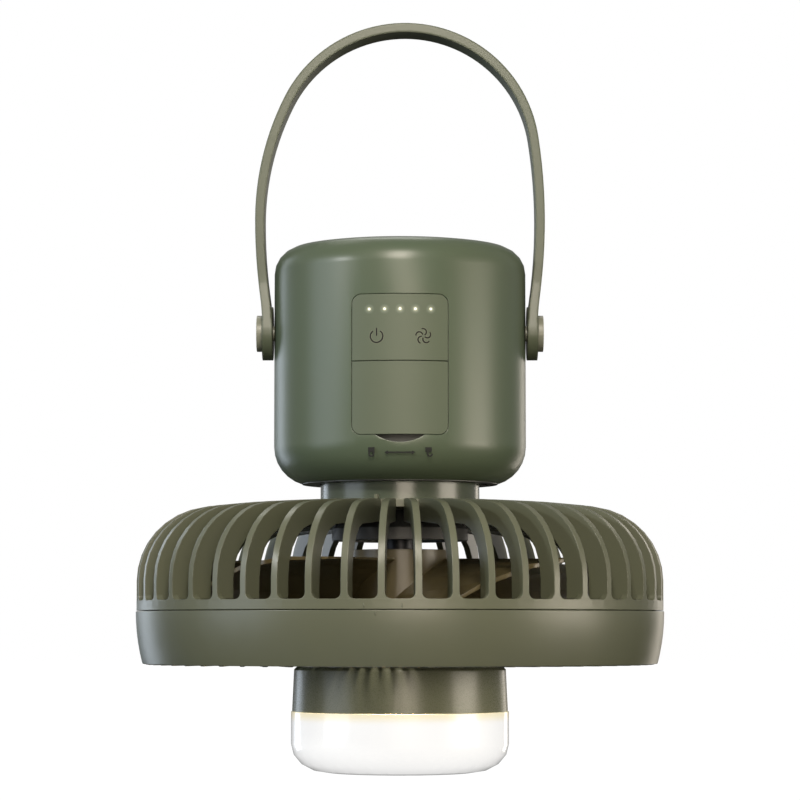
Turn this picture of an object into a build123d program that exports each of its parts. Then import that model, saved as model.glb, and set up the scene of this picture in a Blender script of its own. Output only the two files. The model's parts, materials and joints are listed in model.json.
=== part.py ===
from build123d import *

import os
from math import acos, atan2, cos, degrees, hypot, radians, sin, sqrt, tan

# A portable camping fan that hangs from a carrying strap, head down. The battery base is on top,
# the fan head hangs from its neck in a bayonet, and a lantern sits in the middle of the front guard.
# +Z is up, the control panel faces -Y, and the origin is the centre of the lantern's flat underside.
# All lengths are in mm. Each piece is a solid of its own, written to parts/ under its own name.

os.makedirs("parts", exist_ok=True)

# ---- clearances ----
seat_gap = 0.05  # between pieces that are fixed together
press_gap = 0.02  # round a shaft, where a piece is fixed on it
run_gap = 0.04  # round a shaft or a pin that turns
slide_gap = 0.08  # round a push button
seam_gap = 0.15  # round the port flap
turn_gap = 0.2  # between faces that turn past each other
split_gap = 0.3  # the groove where the two guards meet
stop_gap = 0.3  # between a bayonet lug and its stop, in degrees

# ---- heights of the stack, from the lantern up ----
diffuser_height = 23.4
lantern_housing_height = 18.1
ring_height = 20.5
rear_guard_height = 41.8
neck_height = 6.9
base_height = 93.1

# ---- fan head ----
guard_radius = 102.5
guard_wall = 2.8
guard_lip = 0.4  # how far the ring's lower edge stands above the hub of the front guard
ring_flare = 2.7  # how much narrower the ring is at its lower edge
shoulder_radius = 28.4
crown_radius = 280.0
crown_tilt = 7.1
rib_count = 48
rib_width = 2.5
rib_depth = 8.5
rib_set_back = 0.05  # of the ribs' feet behind the face of the band
slot_corner = 2.2
band_height = 3.7
crown_plate = 3.0
crown_bore = 9.0
spiral_count = 60
spiral_width = 1.8
spiral_height = 5.0
spiral_sweep = 24.0
spiral_steps = 4
guard_hub_radius = 41.0
guard_hub_plate = 2.5
guard_pillar = 3.5
spigot_wall = 1.8
guard_lug = 1.6
guard_lug_angle = 4.8
guard_lug_count = 4
guard_stop_angle = 1.5
guard_turn = 5.3

# ---- lantern ----
lantern_radius = 42.3
lantern_wall = 1.8
lantern_corner_width = 14.0
lantern_corner_height = 11.0
housing_radius = 41.9
housing_taper = 0.8
housing_edge = 1.8
housing_wall = 2.4
wire_hole = 6.0
lantern_screw_radius = 20.0
led_board_side = 54.0
led_pillar = 5.0
led_pillar_radius = 27.0
led_length = 3.5
led_width = 2.8
led_height = 0.8
led_ring_radius = 17.0
led_count = 12
lantern_socket_radius = 5.0
lantern_socket_height = 5.5

# ---- impeller and motor ----
blade_count = 5
blade_tip_radius = 90.0
blade_thickness = 1.8
blade_root_chord = 34.0
blade_tip_chord = 84.0
blade_root_pitch = 42.0
blade_tip_pitch = 13.5
blade_camber = 0.09  # rise of the blade's curve as a share of its chord
blade_rise = 0.9  # how far the blades sit above the middle of the hub
blade_sweep = 18.0  # how far the tip's section is pushed on in the direction of turning
blade_first_angle = 22.0  # from the front to the root of the first blade
blade_steps = 4
hub_radius = 19.4
hub_wall = 2.1
hub_length = 31.9
hub_nose_edge = 5.0
hub_recess = 6.4
hub_recess_radius = 6.5
hub_floor = 3.6
hub_gap = 3.6  # between the hub and the motor mount, open to view through the guard
motor_mount_radius = 26.5
motor_mount_rim = 4.7
motor_mount_wall = 2.2
motor_mount_height = 11.65
motor_mount_flat = 20.0
mount_fin = 1.2
mount_fin_count = 12
mount_screw_radius = 14.0
shaft_radius = 3.0
shaft_bore = 2.1
lamp_tube_radius = 1.8
lamp_tube_bore = 1.2
bearing_radius = 5.0
bearing_height = 3.0
sleeve_wall = 1.45
can_wall = 1.0
can_gap = 0.3
magnet_thickness = 1.5
magnet_width = 8.0
magnet_height = 13.0
magnet_count = 10
air_gap = 0.4
stator_height = 10.0
pole_count = 9
pole_width = 2.6
pole_angle = 26.0
winding_overhang = 2.0
nut_width = 10.0
nut_height = 4.0
retaining_ring_height = 0.7
hidden_sides = 24  # sides of the hidden bushes, boards and rings

# ---- neck and its bayonet ----
neck_radius = 31.0
neck_wall = 3.0
neck_foot = 2.8
neck_foot_bore = 20.0
neck_rise = 14.2
neck_screw_radius = 23.5
neck_lug = 3.4
neck_lug_angle = 24.0
neck_lug_height = 2.4
neck_lug_count = 3
neck_turn = 25.2
bayonet_wall = 3.5
bayonet_ledge = 2.2
bayonet_notch_angle = 26.0
bayonet_stop_angle = 4.0
bayonet_flange = 3.9
bayonet_flange_height = 2.4
contact_plate_thickness = 1.6
index_height = 1.7
index_length = 3.2
index_width = 1.2

# ---- battery base ----
base_radius = 49.2
base_wall = 2.4
base_top_edge = 10.5
base_bottom_edge = 15.0
end_radius = 38.0
end_plate = 3.2
end_recess = 0.6
ledge_width = 2.0
foot_radius = 30.0
foot_width = 6.0
foot_proud = 0.3
boss_radius = 3.4
boss_length = 16.0
end_screw_radius = 34.6

# ---- control panel and port flap ----
panel_width = 36.4
panel_corner = 3.6
panel_low = 16.9  # above the underside of the base
panel_height = 53.1
flap_height = 27.8
flap_thickness = 1.9
notch_width = 18.6
notch_height = 2.8
notch_depth = 4.0  # through the wall, down to the frame behind the flap
button_radius = 6.4
button_skin = 1.6
button_stem = 1.6
button_pitch = 17.6
button_drop = 16.1  # from the panel's top edge
button_travel = 0.6
light_radius = 1.0
light_pitch = 5.8
light_drop = 5.8
light_count = 5
frame_wall = 2.1
frame_margin = 3.0
board_thickness = 1.6
board_front = 41.0  # from the axis to the front face of the control board
board_width = 33.0
switch_side = 6.0
switch_height = 1.5
switch_plunger = 0.7

# ---- ports ----
bay_width = 27.6
bay_height = 21.2
bay_rise = 3.2  # from the panel's lower edge to the bay's floor
bay_wall = 1.4
usb_a_width = 13.1
usb_a_height = 5.7
usb_a_length = 14.0
usb_a_x = 4.0
usb_c_width = 8.94
usb_c_height = 3.2
usb_c_length = 7.3
usb_c_x = -8.5
port_rise = 8.2  # from the panel's lower edge to the underside of the port board
port_board_width = 34.0
port_board_depth = 19.5
port_bracket = 5.0
port_screw_depth = 10.0

# ---- batteries ----
cell_radius = 9.1
cell_length = 65.0
cell_pitch = 19.4
cell_back = 8.0  # how far the pack stands behind the axis, to clear the control board
strip_thickness = 0.3
strip_width = 8.0
tray_plate = 3.0
lid_plate = 2.5
lid_post = 4.2
contact_pin_radius = 1.0
contact_pin_pitch = 3.5
contact_pin_count = 4
contact_pin_offset = 19.25

# ---- carrying strap ----
strap_thickness = 3.6
strap_width = 14.0
strap_eye_radius = 10.45
strap_eye_thickness = 4.1
strap_gap = 0.5
strap_neck = 20.0  # above the pins, where the eye has narrowed to the strap
strap_low_arc = 100.0
strap_high_arc = 220.0
strap_lean = 8.0  # how far the strap leans out above the pins, in degrees
strap_rise = 120.3  # from the pins to the middle of the strap at its crown
strap_crown_radius = 51.0
strap_sway = 2.0  # how far the limp crown leans to one side
pin_height = 59.6  # above the underside of the base
pin_radius = 3.0
pin_head_radius = 7.1
pin_head = 2.2
pin_flange_radius = 4.8
pin_flange = 1.4

# ---- screws ----
screw_radius = 1.3
screw_head_radius = 2.5
screw_head = 1.8
screw_sides = 8
screw_hole = (screw_radius + seat_gap) / cos(radians(180 / screw_sides))
screw_recess = (screw_head_radius + 0.3) / cos(radians(180 / screw_sides))

# ---- heights that follow ----
z_guard = diffuser_height + lantern_housing_height
z_ring = z_guard + guard_lip
z_split = z_ring + ring_height
z_crown = z_split + rear_guard_height
z_base = z_crown + neck_height
z_end = z_base + base_height
z_pin = z_base + pin_height
z_panel = z_base + panel_low
z_panel_top = z_panel + panel_height
z_crease = z_panel + flap_height
z_buttons = z_panel_top - button_drop
z_lights = z_panel_top - light_drop
z_crown_plate = z_crown - crown_plate


def ring_sector(inner, outer, start, size):
    """A stretch of a flat ring, as a face to be placed in a sketch."""
    with BuildSketch() as drawn:
        with BuildLine():
            near = CenterArc((0, 0), inner, start, size)
            far = CenterArc((0, 0), outer, start, size)
            Line(near @ 0, far @ 0)
            Line(near @ 1, far @ 1)
        make_face()
    return drawn.sketch


def corner_points(middle, across, up, start, stop, steps):
    """Points along the rounded corner of a turned profile, between two angles in degrees."""
    turns = [radians(start + (stop - start) * i / steps) for i in range(steps + 1)]
    return [(middle[0] + across * cos(a), middle[1] + up * sin(a)) for a in turns]


def round_points(radius, count, start):
    """Points spread evenly round the axis."""
    turns = [radians(start + i * 360 / count) for i in range(count)]
    return [(radius * cos(a), radius * sin(a)) for a in turns]


def bored(radius):
    """The corner radius of a many-sided bore whose flats stand this far from the axis."""
    return radius / cos(radians(180 / hidden_sides))


def facing_up(z):
    """A level plane at height z, seen from above."""
    return Plane.XY.offset(z)


def facing_down(z):
    """A level plane at height z, seen from below, so that its Y runs to the front."""
    return Plane(origin=(0, 0, z), x_dir=(1, 0, 0), z_dir=(0, 0, -1))


def facing_front(y):
    """An upright plane this far in front of the axis."""
    return Plane.XZ.offset(y)


def screw_set(seat, points, length):
    """Like screws: their heads stand on the plane "seat" and their shanks go into it."""
    with BuildPart() as made:
        with BuildSketch(seat):
            with Locations(*points):
                RegularPolygon(screw_head_radius, screw_sides)
        extrude(amount=screw_head)
        with BuildSketch(seat):
            with Locations(*points):
                RegularPolygon(screw_radius, screw_sides)
        extrude(amount=-length)
    return made


# =============================== lantern ===============================

with BuildPart() as lantern_diffuser:
    with BuildSketch(Plane.XZ):
        with BuildLine():
            inner_radius = lantern_radius - lantern_wall
            Polyline(
                (0, 0),
                *corner_points(
                    (lantern_radius - lantern_corner_width, lantern_corner_height),
                    lantern_corner_width, lantern_corner_height, -90, 0, 4),
                (lantern_radius, diffuser_height),
                (inner_radius, diffuser_height),
                (inner_radius, lantern_corner_height),
                (lantern_radius - lantern_corner_width, lantern_wall),
                (0, lantern_wall),
                close=True)
        make_face()
    revolve(axis=Axis.Z)
lantern_diffuser.part.label = "lantern_diffuser"
export_step(lantern_diffuser.part, "parts/lantern_diffuser.step")

housing_top_radius = housing_radius - housing_taper
z_deck = z_guard - housing_wall

with BuildPart() as lantern_housing:
    with BuildSketch(Plane.XZ):
        with BuildLine():
            Polyline(
                (wire_hole, z_guard),
                (housing_top_radius, z_guard),
                (housing_radius, diffuser_height + seat_gap),
                (housing_radius - housing_wall, diffuser_height + seat_gap),
                (housing_radius - housing_wall, z_deck),
                (wire_hole, z_deck),
                close=True)
        make_face()
        chamfer(vertices().group_by(Axis.Y)[-1].sort_by(Axis.X)[-1], housing_edge)
    revolve(axis=Axis.Z)
    with BuildSketch(facing_up(z_deck)):
        with PolarLocations(led_pillar_radius, 3, start_angle=30):
            RegularPolygon(screw_head_radius + 0.5, screw_sides)
    extrude(amount=-led_pillar)
    with BuildSketch(facing_up(z_deck - led_pillar)):
        with PolarLocations(led_pillar_radius, 3, start_angle=30):
            RegularPolygon(screw_hole, screw_sides)
    extrude(amount=led_pillar, mode=Mode.SUBTRACT)
    with BuildSketch(facing_up(z_deck)):
        with PolarLocations(lantern_screw_radius, 3, start_angle=90):
            RegularPolygon(screw_hole, screw_sides)
    extrude(amount=housing_wall, mode=Mode.SUBTRACT)
lantern_housing.part.label = "lantern_housing"
export_step(lantern_housing.part, "parts/lantern_housing.step")

z_led_board = z_deck - led_pillar - board_thickness

with BuildPart() as led_board:
    with BuildSketch(facing_up(z_led_board)):
        Rectangle(led_board_side, led_board_side)
        chamfer(vertices(), led_board_side * 0.18)
        with PolarLocations(led_pillar_radius, 3, start_angle=30):
            RegularPolygon(screw_hole, screw_sides, mode=Mode.SUBTRACT)
    extrude(amount=board_thickness - seat_gap)
led_board.part.label = "led_board"
export_step(led_board.part, "parts/led_board.step")

with BuildPart() as led_chips:
    with BuildSketch(facing_up(z_led_board)):
        with PolarLocations(led_ring_radius, led_count):
            Rectangle(led_length, led_width)
    extrude(amount=-led_height)
led_chips.part.label = "led_chips"
export_step(led_chips.part, "parts/led_chips.step")

led_board_screws = screw_set(
    facing_down(z_led_board), round_points(led_pillar_radius, 3, -30), board_thickness + led_pillar * 0.8)
led_board_screws.part.label = "led_board_screws"
export_step(led_board_screws.part, "parts/led_board_screws.step")

# =============================== front guard ===============================

ring_low_radius = guard_radius - ring_flare
ring_arc_radius = (ring_height ** 2 + ring_flare ** 2) / (2 * ring_flare)
guard_spigot = guard_radius - guard_wall - 2 * turn_gap - guard_lug  # outside of the bayonet spigot
band_inner = guard_spigot + guard_lug + turn_gap
spigot_top = z_split + band_height - turn_gap
z_spiral = z_guard + 0.1
z_guard_hub = z_spiral + spiral_height + 0.4
spiral_start = guard_hub_radius - guard_hub_plate / 2
spiral_end = ring_low_radius - guard_wall / 2

spiral_runs = [i / spiral_steps for i in range(spiral_steps + 1)]
spiral_line = [
    (spiral_start + (spiral_end - spiral_start) * t, radians(spiral_sweep) * t ** 1.4) for t in spiral_runs]

with BuildSketch() as spiral_rib:
    with BuildLine():
        leading = Polyline(*[(r * cos(a), r * sin(a)) for r, a in spiral_line])
        trailing = Polyline(*[
            (r * cos(a) - spiral_width * sin(a), r * sin(a) + spiral_width * cos(a))
            for r, a in spiral_line])
        Line(leading @ 0, trailing @ 0)
        Line(leading @ 1, trailing @ 1)
    make_face()

guard_lug_face = ring_sector(
    guard_spigot - 0.5, guard_spigot + guard_lug, -guard_lug_angle / 2, guard_lug_angle)

with BuildPart() as front_guard:
    # the ring, flared by an arc, with the bayonet spigot that rises inside the rear guard's band
    with BuildSketch(Plane.XZ):
        with BuildLine():
            outside = RadiusArc(
                (ring_low_radius, z_ring), (guard_radius, z_split - split_gap), -ring_arc_radius)
            Polyline(
                outside @ 0,
                (ring_low_radius - guard_wall, z_ring),
                (guard_radius - guard_wall, z_split - split_gap - guard_wall),
                (guard_spigot - spigot_wall, z_split - split_gap - guard_wall),
                (guard_spigot - spigot_wall, spigot_top),
                (guard_spigot, spigot_top),
                (guard_spigot, z_split - split_gap),
                outside @ 1)
        make_face()
    revolve(axis=Axis.Z)
    # the hub, a shallow cup that the lantern is screwed to
    with BuildSketch(Plane.XZ):
        with BuildLine():
            Polyline(
                (0, z_guard + seat_gap),
                (guard_hub_radius, z_guard + seat_gap),
                (guard_hub_radius, z_guard_hub),
                (guard_hub_radius - guard_hub_plate, z_guard_hub),
                (guard_hub_radius - guard_hub_plate, z_guard + guard_hub_plate),
                (0, z_guard + guard_hub_plate),
                close=True)
        make_face()
    revolve(axis=Axis.Z)
    # the curved ribs between them
    with BuildSketch(facing_up(z_spiral)):
        with PolarLocations(0, spiral_count):
            add(spiral_rib.sketch)
    extrude(amount=spiral_height)
    with BuildSketch(facing_up(z_guard + guard_hub_plate)):
        with PolarLocations(lantern_screw_radius, 3, start_angle=90):
            RegularPolygon(screw_head_radius + 0.5, screw_sides)
    extrude(amount=guard_pillar)
    with BuildSketch(facing_up(z_guard)):
        with PolarLocations(lantern_screw_radius, 3, start_angle=90):
            RegularPolygon(screw_hole, screw_sides)
    extrude(amount=guard_hub_plate + guard_pillar - 1.0, mode=Mode.SUBTRACT)
    with BuildSketch(facing_up(z_guard)):
        RegularPolygon(lamp_tube_radius + 0.6, hidden_sides)
    extrude(amount=guard_hub_plate, mode=Mode.SUBTRACT)
    with BuildSketch(facing_up(spigot_top - guard_lug)):
        with PolarLocations(0, guard_lug_count, start_angle=-90):
            add(guard_lug_face)
    extrude(amount=guard_lug)
front_guard.part.label = "front_guard"
export_step(front_guard.part, "parts/front_guard.step")

lantern_screws = screw_set(
    facing_down(z_deck), round_points(lantern_screw_radius, 3, -90),
    housing_wall + guard_hub_plate + guard_pillar - 1.3)
lantern_screws.part.label = "lantern_screws"
export_step(lantern_screws.part, "parts/lantern_screws.step")

# the socket that the lamp's wires plug into, on the hub of the guard
with BuildPart() as lantern_socket:
    with BuildSketch(facing_up(z_guard + guard_hub_plate + seat_gap)):
        RegularPolygon(lantern_socket_radius, hidden_sides)
        RegularPolygon(bored(lamp_tube_radius + turn_gap), hidden_sides, mode=Mode.SUBTRACT)
    extrude(amount=lantern_socket_height)
lantern_socket.part.label = "lantern_socket"
export_step(lantern_socket.part, "parts/lantern_socket.step")

# =============================== rear guard ===============================

band_radius = guard_radius - split_gap
shoulder_x = band_radius - shoulder_radius
crown_x = shoulder_x - (crown_radius - shoulder_radius) * sin(radians(crown_tilt))
shoulder_z = z_crown - crown_radius + (crown_radius - shoulder_radius) * cos(radians(crown_tilt))
rib_inner = band_radius - rib_depth
rib_foot = spigot_top + 2 * turn_gap
inner_shoulder = shoulder_radius - rib_depth
z_slot = z_split + band_height

with BuildPart() as guard_rib:
    with BuildSketch(Plane.XZ):
        with BuildLine():
            shoulder = corner_points(
                (shoulder_x, shoulder_z), shoulder_radius, shoulder_radius, 0, 90 - crown_tilt, 8)
            crown = corner_points(
                (crown_x, z_crown - crown_radius), crown_radius, crown_radius, 90 - crown_tilt, 90, 3)
            inside = corner_points(
                (shoulder_x, shoulder_z), inner_shoulder, inner_shoulder, 0, 90 - crown_tilt, 5)
            run = inside[-1][0] - crown_x
            Polyline(
                (band_radius - rib_set_back, z_slot - 1.0),
                *shoulder,
                *crown[1:],
                (crown_x - 1.5, z_crown),
                (crown_x - 1.5, z_crown_plate + 0.5),
                (crown_x, inside[-1][1] + run * tan(radians(crown_tilt / 2))),
                *inside[::-1],
                (rib_inner, rib_foot),
                (band_inner, rib_foot),
                (band_inner, z_slot - 1.0),
                close=True)
        make_face()
    extrude(amount=rib_width / 2, both=True)
    # the rounded corners of the slots on either side of the rib's foot
    with BuildSketch(Plane.YZ.offset(band_inner + rib_set_back)):
        with BuildLine():
            corner = corner_points(
                (rib_width / 2 + slot_corner, z_slot + slot_corner), slot_corner, slot_corner, 180, 270, 3)
            Polyline(
                *corner,
                (rib_width / 2 + slot_corner, z_slot - 1.0),
                (-rib_width / 2 - slot_corner, z_slot - 1.0),
                *[(-across, up) for across, up in corner[::-1]],
                close=True)
        make_face()
    extrude(amount=band_radius - band_inner - 2 * rib_set_back)

guard_ledge_face = ring_sector(
    guard_spigot + turn_gap, band_inner + 0.5, -guard_lug_angle / 2, guard_lug_angle)
guard_stop_low = ring_sector(
    guard_spigot + turn_gap, band_inner + 0.5,
    -guard_lug_angle / 2 - stop_gap - guard_stop_angle, guard_stop_angle)
guard_stop_high = ring_sector(
    guard_spigot + turn_gap, band_inner + 0.5,
    guard_lug_angle / 2 + guard_turn + stop_gap, guard_stop_angle)

with BuildPart() as rear_guard:
    # the closed crown, which the ribs run out of
    with BuildSketch(facing_up(z_crown_plate)):
        Circle(crown_x)
        Circle(crown_bore, mode=Mode.SUBTRACT)
    extrude(amount=crown_plate)
    # the band under the slots
    with BuildSketch(facing_up(z_split)):
        Circle(band_radius)
        Circle(band_inner, mode=Mode.SUBTRACT)
    extrude(amount=band_height)
    # the ribs, over the shoulder from the crown to the band
    with PolarLocations(0, rib_count, start_angle=-90 + 180 / rib_count):
        add(guard_rib.part)
    # the bayonet for the front guard: ledges, each with a stop on either side
    with BuildSketch(facing_up(z_split)):
        with PolarLocations(0, guard_lug_count, start_angle=-90):
            add(guard_ledge_face)
    extrude(amount=band_height - guard_lug - 2 * turn_gap)
    with BuildSketch(facing_up(z_split)):
        with PolarLocations(0, guard_lug_count, start_angle=-90):
            add(guard_stop_low)
            add(guard_stop_high)
    extrude(amount=band_height - turn_gap)
    # holes for the screws of the neck and of the motor mount
    with BuildSketch(facing_up(z_crown_plate)):
        with PolarLocations(neck_screw_radius, 3, start_angle=90):
            RegularPolygon(screw_hole, screw_sides)
        with PolarLocations(mount_screw_radius, 3, start_angle=30):
            RegularPolygon(screw_hole, screw_sides)
    extrude(amount=crown_plate, mode=Mode.SUBTRACT)
    # the index bump that points at the padlock signs on the base
    with BuildSketch(Plane.XY.offset(z_crown).rotated((0, 0, -neck_turn / 2))):
        with Locations((0, -neck_radius - (crown_x - neck_radius) * 0.95)):
            Rectangle(index_width, index_length, align=(Align.CENTER, Align.MIN))
    extrude(amount=index_height)
rear_guard.part.label = "rear_guard"
export_step(rear_guard.part, "parts/rear_guard.step")

# =============================== motor ===============================

z_mount_top = z_crown_plate - seat_gap
z_mount = z_mount_top - motor_mount_height
z_mount_roof = z_mount_top - motor_mount_wall
mount_shoulder = z_mount + motor_mount_rim
mount_inner = motor_mount_radius - motor_mount_wall
mount_slope = degrees(atan2(motor_mount_radius - motor_mount_flat, z_mount_top - mount_shoulder))
sleeve_bore = bearing_radius + run_gap
sleeve_radius = sleeve_bore + sleeve_wall
boss_bore = sleeve_radius + seat_gap
z_sleeve_top = z_mount_roof - 0.5
z_motor_board = z_mount + 0.9
z_mount_boss = z_motor_board + board_thickness + seat_gap

with BuildPart() as mount_fin_blank:
    with BuildSketch(Plane.XZ):
        with BuildLine():
            Polyline(
                (motor_mount_flat - 1.0, z_mount_top),
                (motor_mount_radius - 0.4, z_mount_top),
                (motor_mount_radius - 0.4, mount_shoulder),
                (motor_mount_flat - 1.0, z_mount_top - 1.0),
                close=True)
        make_face()
    extrude(amount=mount_fin / 2, both=True)

with BuildPart() as motor_mount:
    # a turned dome over a short skirt
    with BuildSketch(facing_up(z_mount)):
        RegularPolygon(motor_mount_radius, 2 * hidden_sides)
    extrude(amount=motor_mount_rim)
    with BuildSketch(facing_up(mount_shoulder)):
        RegularPolygon(motor_mount_radius, 2 * hidden_sides)
    extrude(amount=z_mount_top - mount_shoulder, taper=mount_slope)
    with BuildSketch(facing_up(z_mount)):
        RegularPolygon(mount_inner, hidden_sides)
    extrude(amount=motor_mount_rim, mode=Mode.SUBTRACT)
    with BuildSketch(facing_up(mount_shoulder)):
        RegularPolygon(mount_inner, hidden_sides)
    extrude(amount=z_mount_roof - mount_shoulder, taper=mount_slope, mode=Mode.SUBTRACT)
    # cooling fins on the dome
    with PolarLocations(0, mount_fin_count, start_angle=15):
        add(mount_fin_blank.part)
    # the boss for the bearing sleeve
    with BuildSketch(facing_up(z_mount_boss)):
        RegularPolygon(boss_bore + 2.7, hidden_sides)
    extrude(amount=z_mount_roof - z_mount_boss + 0.5)
    with BuildSketch(facing_up(z_mount)):
        RegularPolygon(bored(boss_bore), hidden_sides)
    extrude(amount=motor_mount_height, mode=Mode.SUBTRACT)
    with BuildSketch(facing_up(z_mount_roof)):
        with PolarLocations(mount_screw_radius, 3, start_angle=30):
            RegularPolygon(screw_hole, screw_sides)
    extrude(amount=motor_mount_wall, mode=Mode.SUBTRACT)
motor_mount.part.label = "motor_mount"
export_step(motor_mount.part, "parts/motor_mount.step")

mount_screws = screw_set(
    facing_down(z_mount_roof), round_points(mount_screw_radius, 3, -30),
    motor_mount_wall + crown_plate - 0.2)
mount_screws.part.label = "mount_screws"
export_step(mount_screws.part, "parts/mount_screws.step")

with BuildPart() as motor_board:
    with BuildSketch(facing_up(z_motor_board)):
        RegularPolygon(mount_inner - 0.5, hidden_sides)
        RegularPolygon(bored(boss_bore + 0.3), hidden_sides, mode=Mode.SUBTRACT)
    extrude(amount=board_thickness)
motor_board.part.label = "motor_board"
export_step(motor_board.part, "parts/motor_board.step")

z_hub_top = z_mount - hub_gap
z_hub = z_hub_top - hub_length
z_hub_seat = z_hub + hub_recess
z_hub_floor = z_hub_seat + hub_floor
z_can = z_hub_floor + seat_gap
can_radius = hub_radius - hub_wall - can_gap
z_sleeve = z_can + can_wall + 1.3
z_stator = z_sleeve + 3.5
z_shaft = z_hub + 0.5
z_shaft_top = z_sleeve_top - 1.0
z_lower_bearing = z_sleeve + 1.5
z_upper_bearing = z_sleeve_top - 6.0
shaft_seat = shaft_radius + press_gap

with BuildPart() as bearing_sleeve:
    with BuildSketch(facing_up(z_sleeve)):
        RegularPolygon(sleeve_radius, hidden_sides)
        RegularPolygon(bored(sleeve_bore), hidden_sides, mode=Mode.SUBTRACT)
    extrude(amount=z_sleeve_top - z_sleeve)
bearing_sleeve.part.label = "bearing_sleeve"
export_step(bearing_sleeve.part, "parts/bearing_sleeve.step")

with BuildPart() as bearings:
    with BuildSketch(facing_up(z_lower_bearing), facing_up(z_upper_bearing)):
        RegularPolygon(bearing_radius, hidden_sides)
        RegularPolygon(bored(shaft_radius + run_gap), hidden_sides, mode=Mode.SUBTRACT)
    extrude(amount=bearing_height)
bearings.part.label = "bearings"
export_step(bearings.part, "parts/bearings.step")

magnet_face = can_radius - can_wall - 0.8 - magnet_thickness
stator_radius = magnet_face - air_gap
pole_root = sleeve_radius + 2.4
pole_tip = ring_sector(stator_radius - 1.3, stator_radius, -pole_angle / 2, pole_angle)

with BuildPart() as motor_stator:
    with BuildSketch(facing_up(z_stator)):
        RegularPolygon(pole_root, hidden_sides)
        with PolarLocations(pole_root - 0.5, pole_count):
            Rectangle(stator_radius - 0.5 - pole_root, pole_width, align=(Align.MIN, Align.CENTER))
        with PolarLocations(0, pole_count):
            add(pole_tip)
        RegularPolygon(bored(sleeve_radius + seat_gap), hidden_sides, mode=Mode.SUBTRACT)
    extrude(amount=stator_height)
motor_stator.part.label = "motor_stator"
export_step(motor_stator.part, "parts/motor_stator.step")

winding_in = pole_root + 0.35
winding_width = pole_width + 2.8
winding_reach = sqrt((stator_radius - 1.3 - 2 * seat_gap) ** 2 - (winding_width / 2) ** 2)
winding_length = winding_reach - winding_in

with BuildPart() as motor_windings:
    with BuildSketch(facing_up(z_stator - winding_overhang)):
        with PolarLocations(winding_in, pole_count):
            Rectangle(winding_length, winding_width, align=(Align.MIN, Align.CENTER))
    extrude(amount=stator_height + 2 * winding_overhang)
    with BuildSketch(facing_up(z_stator - seat_gap)):
        with PolarLocations(winding_in - 1.0, pole_count):
            Rectangle(winding_length + 2.0, pole_width + 2 * seat_gap, align=(Align.MIN, Align.CENTER))
    extrude(amount=stator_height + 2 * seat_gap, mode=Mode.SUBTRACT)
motor_windings.part.label = "motor_windings"
export_step(motor_windings.part, "parts/motor_windings.step")

# the fixed tube through the shaft, which carries the lantern's wires
z_lamp_tube = z_guard + guard_hub_plate + 2.5

with BuildPart() as lamp_tube:
    with BuildSketch(facing_up(z_lamp_tube)):
        RegularPolygon(lamp_tube_radius, hidden_sides)
    extrude(amount=z_sleeve_top + seat_gap - z_lamp_tube)
    with BuildSketch(facing_up(z_sleeve_top + seat_gap)):
        RegularPolygon(sleeve_radius - 0.1, hidden_sides)
    extrude(amount=1.5)
    with BuildSketch(facing_up(z_lamp_tube)):
        RegularPolygon(lamp_tube_bore, hidden_sides)
    extrude(amount=z_crown - z_lamp_tube, mode=Mode.SUBTRACT)
lamp_tube.part.label = "lamp_tube"
export_step(lamp_tube.part, "parts/lamp_tube.step")

# =============================== impeller ===============================


def blade_profile(chord):
    """The cambered section of a blade, as a face with its chord along X."""
    rise = chord * blade_camber
    runs = [-1 + i * 2 / blade_steps for i in range(blade_steps + 1)]
    upper = [(chord / 2 * t, rise * (1 - t * t) + blade_thickness * (0.5 - t * t / 5)) for t in runs]
    lower = [(chord / 2 * t, rise * (1 - t * t) - blade_thickness * (0.5 - t * t / 5)) for t in runs]
    with BuildSketch() as drawn:
        with BuildLine():
            Polyline(*upper, *lower[::-1], close=True)
        make_face()
    return drawn.sketch


def blade_plane(radius, pitch, sweep, z):
    """The plane of a blade's section, across the radius, pushed on by the sweep and turned by the pitch."""
    return Plane(
        origin=(radius, sweep, z), x_dir=(0, cos(radians(pitch)), sin(radians(pitch))), z_dir=(1, 0, 0))


blade_low = hub_radius * 0.66
blade_high = blade_tip_radius + 2.0
z_blade = z_hub + hub_length / 2 + blade_rise
root_profile = blade_profile(blade_root_chord)
tip_profile = blade_profile(blade_tip_chord)

with BuildPart() as blade:
    with BuildSketch(blade_plane(blade_low, blade_root_pitch, 0, z_blade)):
        add(root_profile)
    with BuildSketch(blade_plane(blade_high, blade_tip_pitch, blade_sweep, z_blade)):
        add(tip_profile)
    loft(ruled=True)
    # the blade starts inside the hub's wall and ends on the sweep of its tip
    with BuildSketch(facing_up(z_hub)):
        Circle(blade_tip_radius)
        Circle(hub_radius - hub_wall / 2, mode=Mode.SUBTRACT)
    extrude(amount=hub_length, mode=Mode.INTERSECT)

with BuildPart() as impeller:
    with BuildSketch(Plane.XZ):
        with BuildLine():
            Polyline(
                (shaft_seat, z_hub_seat),
                (hub_recess_radius, z_hub_seat),
                (hub_recess_radius, z_hub),
                (hub_radius - hub_nose_edge, z_hub),
                (hub_radius - hub_nose_edge * 0.3, z_hub + hub_nose_edge * 0.3),
                (hub_radius, z_hub + hub_nose_edge),
                (hub_radius, z_hub_top),
                (hub_radius - hub_wall, z_hub_top),
                (hub_radius - hub_wall, z_hub_floor),
                (shaft_seat, z_hub_floor),
                close=True)
        make_face()
    revolve(axis=Axis.Z)
    with PolarLocations(0, blade_count, start_angle=blade_first_angle - 90):
        add(blade.part)
impeller.part.label = "impeller"
export_step(impeller.part, "parts/impeller.step")

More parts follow.
